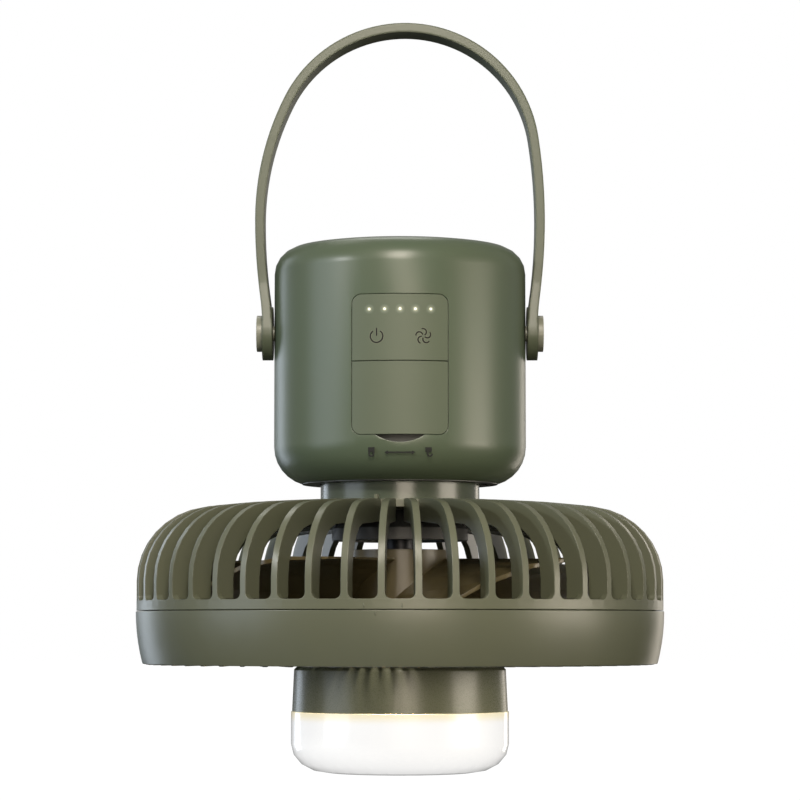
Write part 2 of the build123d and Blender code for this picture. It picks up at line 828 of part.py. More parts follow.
with BuildPart() as rotor_can:
    with BuildSketch(facing_up(z_can)):
        RegularPolygon(can_radius, 2 * hidden_sides)
        RegularPolygon(bored(shaft_seat), hidden_sides, mode=Mode.SUBTRACT)
    extrude(amount=can_wall)
    with BuildSketch(facing_up(z_can)):
        RegularPolygon(can_radius, 2 * hidden_sides)
        RegularPolygon(can_radius - can_wall, 2 * hidden_sides, mode=Mode.SUBTRACT)
    extrude(amount=z_hub_top - 2.0 - z_can)
rotor_can.part.label = "rotor_can"
export_step(rotor_can.part, "parts/rotor_can.step")

with BuildPart() as rotor_magnets:
    with BuildSketch(facing_up(z_stator + stator_height / 2 - magnet_height / 2)):
        with PolarLocations(magnet_face, magnet_count):
            Rectangle(magnet_thickness, magnet_width, align=(Align.MIN, Align.CENTER))
    extrude(amount=magnet_height)
rotor_magnets.part.label = "rotor_magnets"
export_step(rotor_magnets.part, "parts/rotor_magnets.step")

with BuildPart() as rotor_shaft:
    with BuildSketch(facing_up(z_shaft)):
        Circle(shaft_radius)
        RegularPolygon(shaft_bore, hidden_sides, mode=Mode.SUBTRACT)
    extrude(amount=z_shaft_top - z_shaft)
rotor_shaft.part.label = "rotor_shaft"
export_step(rotor_shaft.part, "parts/rotor_shaft.step")

with BuildPart() as impeller_nut:
    with BuildSketch(facing_up(z_hub_seat - nut_height)):
        RegularPolygon(nut_width / 2, 6, major_radius=False)
        RegularPolygon(bored(shaft_seat), hidden_sides, mode=Mode.SUBTRACT)
    extrude(amount=nut_height)
impeller_nut.part.label = "impeller_nut"
export_step(impeller_nut.part, "parts/impeller_nut.step")

with BuildPart() as retaining_ring:
    with BuildSketch(facing_up(z_upper_bearing + bearing_height + turn_gap)):
        RegularPolygon(sleeve_bore - 0.3, hidden_sides)
        RegularPolygon(bored(shaft_seat), hidden_sides, mode=Mode.SUBTRACT)
    extrude(amount=retaining_ring_height)
retaining_ring.part.label = "retaining_ring"
export_step(retaining_ring.part, "parts/retaining_ring.step")

# =============================== neck ===============================

z_bayonet = z_base + 0.3
z_neck_lug = z_bayonet + bayonet_ledge + turn_gap
z_neck_top = z_crown + neck_rise
z_contact_plate = z_neck_top - contact_plate_thickness - turn_gap
z_neck_foot = z_crown + seat_gap + neck_foot
neck_bore = neck_radius - neck_wall
neck_lug_face = ring_sector(neck_radius - 0.5, neck_radius + neck_lug, -neck_lug_angle / 2, neck_lug_angle)

with BuildPart() as neck_collar:
    with BuildSketch(facing_up(z_crown + seat_gap)):
        Circle(neck_radius)
        RegularPolygon(neck_foot_bore, hidden_sides, mode=Mode.SUBTRACT)
    extrude(amount=neck_foot)
    with BuildSketch(facing_up(z_neck_foot)):
        Circle(neck_radius)
        Circle(neck_bore - contact_plate_thickness, mode=Mode.SUBTRACT)
    extrude(amount=z_contact_plate - seat_gap - z_neck_foot)
    with BuildSketch(facing_up(z_contact_plate - seat_gap)):
        Circle(neck_radius)
        Circle(neck_bore, mode=Mode.SUBTRACT)
    extrude(amount=z_neck_top - z_contact_plate + seat_gap)
    with BuildSketch(facing_up(z_neck_lug)):
        with PolarLocations(0, neck_lug_count, start_angle=90):
            add(neck_lug_face)
    extrude(amount=neck_lug_height)
    with BuildSketch(facing_up(z_crown)):
        with PolarLocations(neck_screw_radius, 3, start_angle=90):
            RegularPolygon(screw_hole, screw_sides)
    extrude(amount=neck_foot + 1.0, mode=Mode.SUBTRACT)
neck_collar.part.label = "neck_collar"
export_step(neck_collar.part, "parts/neck_collar.step")

neck_screws = screw_set(
    facing_up(z_neck_foot), round_points(neck_screw_radius, 3, 90), neck_foot + crown_plate - 0.2)
neck_screws.part.label = "neck_screws"
export_step(neck_screws.part, "parts/neck_screws.step")

with BuildPart() as contact_plate:
    with BuildSketch(facing_up(z_contact_plate)):
        RegularPolygon(neck_bore - seat_gap, 2 * hidden_sides)
    extrude(amount=contact_plate_thickness)
contact_plate.part.label = "contact_plate"
export_step(contact_plate.part, "parts/contact_plate.step")

# =============================== battery base ===============================

bayonet_bore = neck_radius + neck_lug + turn_gap
bayonet_radius = bayonet_bore + bayonet_wall
mouth_radius = bayonet_radius + 2 * seat_gap
mouth_angle = -degrees(acos((mouth_radius - base_radius + base_bottom_edge) / base_bottom_edge))
base_inner = base_radius - base_wall
z_flange = z_base + 4.5
z_flange_top = z_flange + bayonet_flange_height
flange_radius = bayonet_radius + bayonet_flange
bayonet_screw_radius = bayonet_radius + bayonet_flange / 2
tray_screw_radius = bayonet_bore + bayonet_wall / 2
z_bayonet_top = z_flange_top + screw_head + 0.4
z_end_plate = z_end - end_recess - end_plate
z_ledge = z_end_plate - seat_gap
ledge_radius = end_radius - ledge_width
z_shell_roof = z_ledge - base_top_edge * 0.6
notch_radius = (notch_width ** 2 / 4 + notch_height ** 2) / (2 * notch_height)


def panel_face(low, high, gap, round_low, round_high):
    """The panel's outline between two heights, narrower by the gap, with the corners that are rounded."""
    with BuildSketch() as drawn:
        with Locations((0, low)):
            Rectangle(panel_width - 2 * gap, high - low, align=(Align.CENTER, Align.MIN))
        if round_low:
            fillet(vertices().group_by(Axis.Y)[0], panel_corner - gap)
        if round_high:
            fillet(vertices().group_by(Axis.Y)[-1], panel_corner - gap)
    return drawn.sketch


window_face = panel_face(z_panel, z_panel_top, 0, True, True)
control_face = panel_face(z_crease + seam_gap, z_panel_top - seam_gap, seam_gap, False, True)
flap_face = panel_face(z_panel + seam_gap, z_crease - seam_gap, seam_gap, True, False)

with BuildPart() as base_shell:
    with BuildSketch(Plane.XZ):
        with BuildLine():
            Polyline(
                *corner_points(
                    (base_radius - base_bottom_edge, z_base + base_bottom_edge),
                    base_bottom_edge, base_bottom_edge, mouth_angle, 0, 6),
                *corner_points(
                    (base_radius - base_top_edge, z_end - base_top_edge),
                    base_top_edge, base_top_edge, 0, 90, 5),
                (end_radius, z_end),
                (end_radius, z_ledge),
                (ledge_radius, z_ledge),
                (ledge_radius, z_shell_roof),
                (base_inner, z_shell_roof),
                (base_inner, z_base + base_bottom_edge * 0.9),
                (flange_radius + 0.2, z_flange - seat_gap),
                (mouth_radius, z_flange - seat_gap),
                close=True)
        make_face()
    revolve(axis=Axis.Z)
    # bosses for the end plate's screws, and the holes of all screws
    with BuildSketch(facing_up(z_ledge)):
        with PolarLocations(end_screw_radius, 4):
            RegularPolygon(boss_radius, screw_sides)
    extrude(amount=-boss_length)
    with BuildSketch(facing_up(z_ledge)):
        with PolarLocations(end_screw_radius, 4):
            RegularPolygon(screw_hole, screw_sides)
    extrude(amount=-boss_length + 1.0, mode=Mode.SUBTRACT)
    with BuildSketch(facing_up(z_flange)):
        with PolarLocations(bayonet_screw_radius, 4, start_angle=45):
            RegularPolygon(screw_hole, screw_sides)
    extrude(amount=-bayonet_flange_height / 2 - 0.3, mode=Mode.SUBTRACT)
    # the window for the control panel and the port flap
    with BuildSketch(facing_front(0)):
        add(window_face)
    extrude(amount=base_radius + 1.0, mode=Mode.SUBTRACT)
    # the finger notch under the flap
    with BuildSketch(facing_front(base_radius - notch_depth)):
        with Locations((0, z_panel - notch_height + notch_radius)):
            Circle(notch_radius)
    extrude(amount=notch_depth + 1.0, mode=Mode.SUBTRACT)
    # the holes for the strap's pins
    with BuildSketch(Plane.YZ):
        with Locations((0, z_pin)):
            Circle(pin_radius + run_gap)
    extrude(amount=base_radius + 1.0, both=True, mode=Mode.SUBTRACT)
base_shell.part.label = "base_shell"
export_step(base_shell.part, "parts/base_shell.step")

bayonet_ledge_face = ring_sector(
    neck_radius + 2 * turn_gap, bayonet_bore + 0.5,
    neck_turn + bayonet_notch_angle / 2, 360 / neck_lug_count - bayonet_notch_angle)
bayonet_stop_low = ring_sector(
    neck_radius + 3 * turn_gap, bayonet_bore + 0.5,
    -neck_lug_angle / 2 - stop_gap - bayonet_stop_angle, bayonet_stop_angle)
bayonet_stop_high = ring_sector(
    neck_radius + 3 * turn_gap, bayonet_bore + 0.5,
    neck_lug_angle / 2 + neck_turn + stop_gap, bayonet_stop_angle)

with BuildPart() as bayonet_ring:
    with BuildSketch(facing_up(z_bayonet)):
        Circle(bayonet_radius)
        Circle(bayonet_bore, mode=Mode.SUBTRACT)
    extrude(amount=z_bayonet_top - z_bayonet)
    with BuildSketch(facing_up(z_flange)):
        Circle(flange_radius)
        Circle(bayonet_radius - 0.5, mode=Mode.SUBTRACT)
    extrude(amount=bayonet_flange_height)
    # ledges under the neck's lugs, with notches that let the lugs in, and the stops of the turn
    with BuildSketch(facing_up(z_bayonet)):
        with PolarLocations(0, neck_lug_count, start_angle=90):
            add(bayonet_ledge_face)
    extrude(amount=bayonet_ledge)
    with BuildSketch(facing_up(z_bayonet + bayonet_ledge)):
        with PolarLocations(0, neck_lug_count, start_angle=90):
            add(bayonet_stop_low)
            add(bayonet_stop_high)
    extrude(amount=neck_lug_height + 2 * turn_gap)
    with BuildSketch(facing_up(z_flange)):
        with PolarLocations(bayonet_screw_radius, 4, start_angle=45):
            RegularPolygon(screw_hole, screw_sides)
    extrude(amount=bayonet_flange_height, mode=Mode.SUBTRACT)
    with BuildSketch(facing_up(z_flange_top)):
        with PolarLocations(bayonet_screw_radius, 4, start_angle=45):
            RegularPolygon(screw_recess, screw_sides)
    extrude(amount=z_bayonet_top - z_flange_top, mode=Mode.SUBTRACT)
    with BuildSketch(facing_up(z_bayonet_top)):
        with PolarLocations(tray_screw_radius, 3, start_angle=90):
            RegularPolygon(screw_hole, screw_sides)
    extrude(amount=-3.5, mode=Mode.SUBTRACT)
bayonet_ring.part.label = "bayonet_ring"
export_step(bayonet_ring.part, "parts/bayonet_ring.step")

bayonet_screws = screw_set(
    facing_up(z_flange_top), round_points(bayonet_screw_radius, 4, 45), bayonet_flange_height * 1.5)
bayonet_screws.part.label = "bayonet_screws"
export_step(bayonet_screws.part, "parts/bayonet_screws.step")

with BuildPart() as base_end_plate:
    with BuildSketch(facing_up(z_end_plate)):
        Circle(end_radius - 2 * seat_gap)
        with PolarLocations(end_screw_radius, 4):
            RegularPolygon(screw_hole, screw_sides, mode=Mode.SUBTRACT)
    extrude(amount=end_plate)
    with BuildSketch(facing_up(z_end_plate + end_plate)):
        with PolarLocations(end_screw_radius, 4):
            RegularPolygon(screw_recess, screw_sides)
    extrude(amount=-screw_head - 0.1, mode=Mode.SUBTRACT)
base_end_plate.part.label = "base_end_plate"
export_step(base_end_plate.part, "parts/base_end_plate.step")

end_screws = screw_set(
    facing_up(z_end_plate + end_plate - screw_head - 0.1), round_points(end_screw_radius, 4, 0), 8.0)
end_screws.part.label = "end_screws"
export_step(end_screws.part, "parts/end_screws.step")

with BuildPart() as foot_ring:
    with BuildSketch(facing_up(z_end_plate + end_plate + seat_gap)):
        Circle(foot_radius)
        Circle(foot_radius - foot_width, mode=Mode.SUBTRACT)
    extrude(amount=end_recess + foot_proud - seat_gap)
foot_ring.part.label = "foot_ring"
export_step(foot_ring.part, "parts/foot_ring.step")

# =============================== control panel ===============================

panel_inner = base_inner + seat_gap
frame_outer = base_inner - seat_gap
frame_inner = frame_outer - frame_wall
frame_angle = degrees(acos((panel_width / 2 + frame_margin) / frame_outer))
frame_face = ring_sector(frame_inner, frame_outer, -180 + frame_angle, 180 - 2 * frame_angle)
stem_tip = board_front + switch_height + switch_plunger + button_travel + seat_gap
z_bay = z_panel + bay_rise
z_port_board = z_panel + port_rise
z_ports = z_port_board + board_thickness + seat_gap
bay_back = board_front - bay_wall
board_low = z_crease + 1.2
board_high = z_panel_top + 2.9
board_screw_points = [
    (x, z)
    for x in (-board_width / 2 + 2.0, board_width / 2 - 2.0)
    for z in (board_low + 2.5, board_high - 2.5)]
button_points = [(-button_pitch / 2, z_buttons), (button_pitch / 2, z_buttons)]
light_points = [((i - (light_count - 1) / 2) * light_pitch, z_lights) for i in range(light_count)]
port_screw_y = port_screw_depth - bay_back
port_screw_points = [(-bay_width / 2, port_screw_y), (bay_width / 2, port_screw_y)]

with BuildPart() as control_panel:
    with BuildSketch(facing_front(0)):
        add(control_face)
        with Locations(*button_points):
            Circle(button_radius + slide_gap, mode=Mode.SUBTRACT)
        with Locations(*light_points):
            RegularPolygon(light_radius + seat_gap, 2 * screw_sides, mode=Mode.SUBTRACT)
    extrude(amount=base_radius + 1.0)
    with BuildSketch(facing_up(z_panel)):
        Circle(base_radius)
        Circle(panel_inner, mode=Mode.SUBTRACT)
    extrude(amount=panel_height, mode=Mode.INTERSECT)
control_panel.part.label = "control_panel"
export_step(control_panel.part, "parts/control_panel.step")

with BuildPart() as port_flap:
    with BuildSketch(facing_front(0)):
        add(flap_face)
    extrude(amount=base_radius + 1.0)
    with BuildSketch(facing_up(z_panel)):
        Circle(base_radius)
        Circle(base_radius - flap_thickness, mode=Mode.SUBTRACT)
    extrude(amount=flap_height, mode=Mode.INTERSECT)
port_flap.part.label = "port_flap"
export_step(port_flap.part, "parts/port_flap.step")


def button(x):
    """A round pad flush with the panel, and the stem that presses its switch."""
    with BuildPart() as made:
        with BuildSketch(facing_front(0)):
            with Locations((x, z_buttons)):
                Circle(button_radius)
        extrude(amount=base_radius + 1.0)
        with BuildSketch(facing_up(z_buttons - 2 * button_radius)):
            Circle(base_radius)
            Circle(base_radius - button_skin, mode=Mode.SUBTRACT)
        extrude(amount=4 * button_radius, mode=Mode.INTERSECT)
        with BuildSketch(facing_front(stem_tip)):
            with Locations((x, z_buttons)):
                RegularPolygon(button_stem, 2 * screw_sides)
        extrude(amount=base_radius - 1.3 * button_skin - stem_tip)
    return made


power_button = button(-button_pitch / 2)
power_button.part.label = "power_button"
export_step(power_button.part, "parts/power_button.step")

fan_button = button(button_pitch / 2)
fan_button.part.label = "fan_button"
export_step(fan_button.part, "parts/fan_button.step")

with BuildPart() as panel_frame:
    # the port bay, a box trimmed to the round of the shell
    with BuildSketch(facing_front(bay_back)):
        with Locations((0, z_bay - bay_wall)):
            Rectangle(bay_width + 2 * bay_wall, bay_height + 2 * bay_wall, align=(Align.CENTER, Align.MIN))
    extrude(amount=base_radius - bay_back)
    with BuildSketch(facing_up(z_panel)):
        Circle(frame_outer)
    extrude(amount=panel_height, mode=Mode.INTERSECT)
    # the curved plate that backs the panel
    with BuildSketch(facing_up(z_panel - frame_margin)):
        add(frame_face)
    extrude(amount=panel_height + 2 * frame_margin)
    with BuildSketch(facing_front(board_front)):
        with Locations((0, z_bay)):
            Rectangle(bay_width, bay_height, align=(Align.CENTER, Align.MIN))
    extrude(amount=base_radius - board_front, mode=Mode.SUBTRACT)
    # openings for the sockets, in the back of the bay
    with BuildSketch(facing_front(bay_back)):
        with Locations((usb_a_x, z_ports)):
            Rectangle(usb_a_width + 0.2, usb_a_height + 0.2, align=(Align.CENTER, Align.MIN))
        with Locations((usb_c_x, z_ports)):
            Rectangle(usb_c_width + 0.2, usb_c_height + 0.2, align=(Align.CENTER, Align.MIN))
    extrude(amount=bay_wall, mode=Mode.SUBTRACT)
    # brackets for the port board
    with BuildSketch(facing_front(bay_back)):
        with Locations((-bay_width / 2, z_port_board), (bay_width / 2, z_port_board)):
            Rectangle(port_bracket, 4.0, align=(Align.CENTER, Align.MAX))
    extrude(amount=6.0 - port_board_depth)
    with BuildSketch(facing_up(z_port_board)):
        with Locations(*port_screw_points):
            RegularPolygon(screw_hole, screw_sides)
    extrude(amount=-3.2, mode=Mode.SUBTRACT)
    # bosses for the control board
    with BuildSketch(facing_front(board_front + seat_gap)):
        with Locations(*board_screw_points):
            RegularPolygon(screw_radius + 0.9, screw_sides)
    extrude(amount=frame_outer - board_front - 3.2)
    with BuildSketch(facing_front(board_front)):
        with Locations(*board_screw_points):
            RegularPolygon(screw_hole, screw_sides)
    extrude(amount=2.4, mode=Mode.SUBTRACT)
    # holes for the buttons' stems, and the slot for the light guides
    with BuildSketch(facing_front(board_front)):
        with Locations(*button_points):
            RegularPolygon(button_stem + 0.6, 2 * screw_sides)
        with Locations((0, z_lights)):
            Rectangle(light_count * light_pitch - 2.0, 2 * light_radius + 1.0)
    extrude(amount=base_radius - board_front, mode=Mode.SUBTRACT)
panel_frame.part.label = "panel_frame"
export_step(panel_frame.part, "parts/panel_frame.step")

with BuildPart() as indicator_lights:
    with BuildSketch(facing_front(board_front + led_height + 0.4)):
        with Locations(*light_points):
            RegularPolygon(light_radius, 2 * screw_sides)
    extrude(amount=base_radius - board_front)
    with BuildSketch(facing_up(z_lights - 3 * light_radius)):
        Circle(base_radius)
    extrude(amount=6 * light_radius, mode=Mode.INTERSECT)
indicator_lights.part.label = "indicator_lights"
export_step(indicator_lights.part, "parts/indicator_lights.step")

with BuildPart() as control_board:
    with BuildSketch(facing_front(board_front)):
        with Locations((0, board_low)):
            Rectangle(board_width, board_high - board_low, align=(Align.CENTER, Align.MIN))
        with Locations(*board_screw_points):
            RegularPolygon(screw_hole, screw_sides, mode=Mode.SUBTRACT)
    extrude(amount=-board_thickness)
control_board.part.label = "control_board"
export_step(control_board.part, "parts/control_board.step")

board_screws = screw_set(
    Plane(origin=(0, board_thickness - board_front, 0), x_dir=(-1, 0, 0), z_dir=(0, 1, 0)),
    board_screw_points, board_thickness + 2.2)
board_screws.part.label = "board_screws"
export_step(board_screws.part, "parts/board_screws.step")

with BuildPart() as tact_switches:
    with BuildSketch(facing_front(board_front + seat_gap)):
        with Locations(*button_points):
            Rectangle(switch_side, switch_side)
    extrude(amount=switch_height - seat_gap)
    with BuildSketch(facing_front(board_front + switch_height)):
        with Locations(*button_points):
            RegularPolygon(1.75, screw_sides)
    extrude(amount=switch_plunger)
tact_switches.part.label = "tact_switches"
export_step(tact_switches.part, "parts/tact_switches.step")

with BuildPart() as indicator_leds:
    with BuildSketch(facing_front(board_front + seat_gap)):
        with Locations(*light_points):
            Rectangle(1.6, 1.0)
    extrude(amount=led_height)
indicator_leds.part.label = "indicator_leds"
export_step(indicator_leds.part, "parts/indicator_leds.step")

# =============================== ports ===============================

with BuildPart() as port_board:
    with BuildSketch(facing_up(z_port_board + seat_gap)):
        with Locations((0, seat_gap - bay_back)):
            Rectangle(port_board_width, port_board_depth, align=(Align.CENTER, Align.MIN))
        with Locations(*port_screw_points):
            RegularPolygon(screw_hole, screw_sides, mode=Mode.SUBTRACT)
    extrude(amount=board_thickness)
port_board.part.label = "port_board"
export_step(port_board.part, "parts/port_board.step")

port_board_screws = screw_set(
    facing_up(z_port_board + seat_gap + board_thickness), port_screw_points, board_thickness + 2.8)
port_board_screws.part.label = "port_board_screws"
export_step(port_board_screws.part, "parts/port_board_screws.step")

socket_front = board_front + 0.3
z_sockets = z_ports + seat_gap

with BuildPart() as usb_a_socket:
    with BuildSketch(facing_front(socket_front)):
        with Locations((usb_a_x, z_sockets)):
            Rectangle(usb_a_width, usb_a_height, align=(Align.CENTER, Align.MIN))
    extrude(amount=-usb_a_length)
    with BuildSketch(facing_front(socket_front)):
        with Locations((usb_a_x, z_sockets + usb_a_height / 2)):
            Rectangle(usb_a_width - 1.0, usb_a_height - 1.1)
    extrude(amount=3.0 - usb_a_length, mode=Mode.SUBTRACT)
    with BuildSketch(facing_front(board_front - 0.2)):
        with Locations((usb_a_x, z_sockets + usb_a_height * 0.66)):
            Rectangle(usb_a_width - 2.4, 1.4)
    extrude(amount=3.2 - usb_a_length)
usb_a_socket.part.label = "usb_a_socket"
export_step(usb_a_socket.part, "parts/usb_a_socket.step")

with BuildPart() as usb_c_socket:
    with BuildSketch(facing_front(socket_front)):
        with Locations((usb_c_x, z_sockets + usb_c_height / 2)):
            SlotOverall(usb_c_width, usb_c_height)
    extrude(amount=-usb_c_length)
    with BuildSketch(facing_front(socket_front)):
        with Locations((usb_c_x, z_sockets + usb_c_height / 2)):
            SlotOverall(usb_c_width - 0.6, usb_c_height - 0.6)
    extrude(amount=1.2 - usb_c_length, mode=Mode.SUBTRACT)
    with BuildSketch(facing_front(board_front - 0.2)):
        with Locations((usb_c_x, z_sockets + usb_c_height / 2)):
            Rectangle(usb_c_width - 2.3, 0.7)
    extrude(amount=1.4 - usb_c_length)
usb_c_socket.part.label = "usb_c_socket"
export_step(usb_c_socket.part, "parts/usb_c_socket.step")

# =============================== batteries ===============================

z_tray = z_bayonet_top + seat_gap
z_tray_top = z_tray + tray_plate
z_strips = z_tray_top + seat_gap
z_cells = z_strips + strip_thickness
z_cell_tops = z_cells + cell_length
z_lid = z_cell_tops + strip_thickness + seat_gap
tray_radius = bayonet_radius + 1.0
cell_points = [
    (x, cell_back + y) for x in (-cell_pitch / 2, cell_pitch / 2) for y in (-cell_pitch / 2, cell_pitch / 2)]
lid_side = cell_pitch + 2 * cell_radius + 4.4
contact_points = [
    (0, (i - (contact_pin_count - 1) / 2) * contact_pin_pitch - contact_pin_offset)
    for i in range(contact_pin_count)]
z_contact_pins = z_contact_plate + contact_plate_thickness + 0.1

with BuildPart() as battery_tray:
    with BuildSketch(facing_up(z_tray)):
        RegularPolygon(tray_radius, hidden_sides)
        with Locations(*contact_points):
            RegularPolygon(contact_pin_radius + 2 * seat_gap, screw_sides, mode=Mode.SUBTRACT)
        with PolarLocations(tray_screw_radius, 3, start_angle=90):
            RegularPolygon(screw_hole, screw_sides, mode=Mode.SUBTRACT)
    extrude(amount=tray_plate)
battery_tray.part.label = "battery_tray"
export_step(battery_tray.part, "parts/battery_tray.step")

tray_screws = screw_set(facing_up(z_tray_top), round_points(tray_screw_radius, 3, 90), tray_plate + 3.0)
tray_screws.part.label = "tray_screws"
export_step(tray_screws.part, "parts/tray_screws.step")

with BuildPart() as battery_cells:
    with BuildSketch(facing_up(z_cells)):
        with Locations(*cell_points):
            Circle(cell_radius)
    extrude(amount=cell_length)
battery_cells.part.label = "battery_cells"
export_step(battery_cells.part, "parts/battery_cells.step")

with BuildPart() as battery_strips:
    with BuildSketch(facing_up(z_strips)):
        with Locations((-cell_pitch / 2, cell_back), (cell_pitch / 2, cell_back)):
            Rectangle(strip_width, cell_pitch + strip_width)
    extrude(amount=strip_thickness)
    with BuildSketch(facing_up(z_cell_tops)):
        with Locations((0, cell_back - cell_pitch / 2), (0, cell_back + cell_pitch / 2)):
            Rectangle(cell_pitch + strip_width, strip_width)
    extrude(amount=strip_thickness)
battery_strips.part.label = "battery_strips"
export_step(battery_strips.part, "parts/battery_strips.step")

with BuildPart() as battery_lid:
    with BuildSketch(facing_up(z_lid)):
        with Locations((0, cell_back)):
            Rectangle(lid_side, lid_side)
    extrude(amount=lid_plate)
    with BuildSketch(facing_up(z_tray_top + seat_gap)):
        with Locations((0, cell_back)):
            with GridLocations(lid_side - lid_post, lid_side - lid_post, 2, 2):
                Rectangle(lid_post, lid_post)
    extrude(amount=z_lid - z_tray_top)
battery_lid.part.label = "battery_lid"
export_step(battery_lid.part, "parts/battery_lid.step")

with BuildPart() as contact_pins:
    with BuildSketch(facing_up(z_contact_pins)):
        with Locations(*contact_points):
            RegularPolygon(contact_pin_radius, screw_sides)
    extrude(amount=z_tray_top + 1.5 - z_contact_pins)
contact_pins.part.label = "contact_pins"
export_step(contact_pins.part, "parts/contact_pins.step")

# =============================== carrying strap ===============================

strap_middle = base_radius + strap_gap + strap_eye_thickness / 2
lean = radians(strap_lean)
strap_reach = strap_middle + (strap_low_arc + strap_high_arc) * (1 - cos(lean))
strap_widest = (strap_low_arc + strap_high_arc) * sin(lean)
crown_rise = strap_rise - strap_widest
near_span = strap_reach - strap_sway
far_span = strap_reach + strap_sway
near_arc = (near_span ** 2 + crown_rise ** 2 - 2 * crown_rise * strap_crown_radius) / (
    2 * (near_span - strap_crown_radius))
far_arc = (far_span ** 2 + crown_rise ** 2 - 2 * crown_rise * strap_crown_radius) / (
    2 * (far_span - strap_crown_radius))
near_turn = degrees(atan2(crown_rise - strap_crown_radius, near_arc - near_span))
far_turn = degrees(atan2(crown_rise - strap_crown_radius, far_arc - far_span))
eye_tangent = atan2(strap_neck, strap_width / 2) - acos(
    strap_eye_radius / hypot(strap_width / 2, strap_neck))
eye_x = strap_eye_radius * cos(eye_tangent)
eye_z = z_pin + strap_eye_radius * sin(eye_tangent)

with BuildPart() as handle_strap:
    with BuildLine(Plane.XZ) as strap_path:
        up_1 = JernArc((strap_middle, z_pin), (0, 1), strap_low_arc, -strap_lean)
        up_2 = JernArc(up_1 @ 1, up_1 % 1, strap_high_arc, strap_lean)
        up_3 = JernArc(up_2 @ 1, up_2 % 1, near_arc, near_turn)
        over = JernArc(up_3 @ 1, up_3 % 1, strap_crown_radius, 180 - near_turn - far_turn)
        down_1 = JernArc(over @ 1, over % 1, far_arc, far_turn)
        down_2 = JernArc(down_1 @ 1, down_1 % 1, strap_high_arc, strap_lean)
        down_3 = JernArc(down_2 @ 1, down_2 % 1, strap_low_arc, -strap_lean)
    with BuildSketch(Plane(origin=(strap_middle, 0, z_pin), x_dir=(0, 1, 0), z_dir=(0, 0, 1))):
        Rectangle(2 * strap_eye_radius, strap_thickness)
    sweep(path=strap_path.wires()[0])
    # the strap narrows from its round eyes to its own width
    with BuildSketch(Plane.YZ):
        with BuildLine():
            Polyline(
                (-eye_x, z_pin - 1.0), (eye_x, z_pin - 1.0), (eye_x, eye_z),
                (strap_width / 2, z_pin + strap_neck),
                (strap_width / 2, z_pin + strap_rise + strap_thickness),
                (-strap_width / 2, z_pin + strap_rise + strap_thickness),
                (-strap_width / 2, z_pin + strap_neck),
                (-eye_x, eye_z),
                close=True)
        make_face()
    extrude(amount=strap_reach + 2 * strap_thickness, both=True, mode=Mode.INTERSECT)
    with BuildSketch(Plane.YZ.offset(strap_middle), Plane.YZ.offset(-strap_middle)):
        with Locations((0, z_pin)):
            Circle(strap_eye_radius)
    extrude(amount=strap_eye_thickness / 2, both=True)
    with BuildSketch(Plane.YZ):
        with Locations((0, z_pin)):
            Circle(pin_radius + run_gap + 0.02)
    extrude(amount=strap_reach + strap_thickness, both=True, mode=Mode.SUBTRACT)
handle_strap.part.label = "handle_strap"
export_step(handle_strap.part, "parts/handle_strap.step")

pin_head_seat = strap_middle + strap_eye_thickness / 2 + 0.1
pin_flange_seat = base_inner - 0.5

with BuildPart() as handle_pins:
    with BuildSketch(Plane.YZ.offset(pin_flange_seat - pin_flange)):
        with Locations((0, z_pin)):
            RegularPolygon(pin_flange_radius, 2 * screw_sides)
    extrude(amount=pin_flange)
    with BuildSketch(Plane.YZ.offset(pin_flange_seat)):
        with Locations((0, z_pin)):
            Circle(pin_radius)
    extrude(amount=pin_head_seat - pin_flange_seat)
    with BuildSketch(Plane.YZ.offset(pin_head_seat)):
        with Locations((0, z_pin)):
            Circle(pin_head_radius)
    extrude(amount=pin_head)
    mirror(about=Plane.YZ)
handle_pins.part.label = "handle_pins"
export_step(handle_pins.part, "parts/handle_pins.step")
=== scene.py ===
# %% [markdown]
# # A portable camping fan with a lantern
#
# The fan hangs from its carry strap. From the top down it has a battery base with a control panel, a
# short neck with a twist lock, a round cage with the blades inside, and a lantern. The solids come
# ready made from CAD, in metres, with +Z up the fan's axis and the panel facing -Y. This lesson gives
# them their eased edges, their moulded and metal finishes, their signs, and a studio.

# %% Load the solids
import json
from math import cos, hypot, pi, radians, sin, sqrt

import bpy
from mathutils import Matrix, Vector


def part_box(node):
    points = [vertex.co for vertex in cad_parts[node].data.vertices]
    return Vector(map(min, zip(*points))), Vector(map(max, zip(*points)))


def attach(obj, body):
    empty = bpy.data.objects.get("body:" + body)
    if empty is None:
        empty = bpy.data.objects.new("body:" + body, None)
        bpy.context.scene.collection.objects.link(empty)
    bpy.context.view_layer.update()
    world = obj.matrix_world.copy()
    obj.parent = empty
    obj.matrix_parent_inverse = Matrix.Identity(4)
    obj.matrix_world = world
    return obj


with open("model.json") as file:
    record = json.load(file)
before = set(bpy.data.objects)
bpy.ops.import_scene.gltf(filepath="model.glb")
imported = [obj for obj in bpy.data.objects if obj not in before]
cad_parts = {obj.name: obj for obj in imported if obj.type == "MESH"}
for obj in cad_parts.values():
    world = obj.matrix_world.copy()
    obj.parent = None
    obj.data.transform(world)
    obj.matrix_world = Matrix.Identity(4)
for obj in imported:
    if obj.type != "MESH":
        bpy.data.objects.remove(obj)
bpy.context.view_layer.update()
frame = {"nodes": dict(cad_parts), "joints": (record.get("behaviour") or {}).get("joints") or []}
nodes = frame["nodes"]

# %% [markdown]
# ## Helpers for materials
#
# Colours are written as the hex values that a designer would pick, which are sRGB, while shaders want
# linear light, and grains are written in millimetres, while a texture wants a scale. One function
# converts each. Another adds a shader node with its settings and its links in one call, so that a
# material reads as a short list of nodes.

# %% Colour and node helpers
MM = 0.001


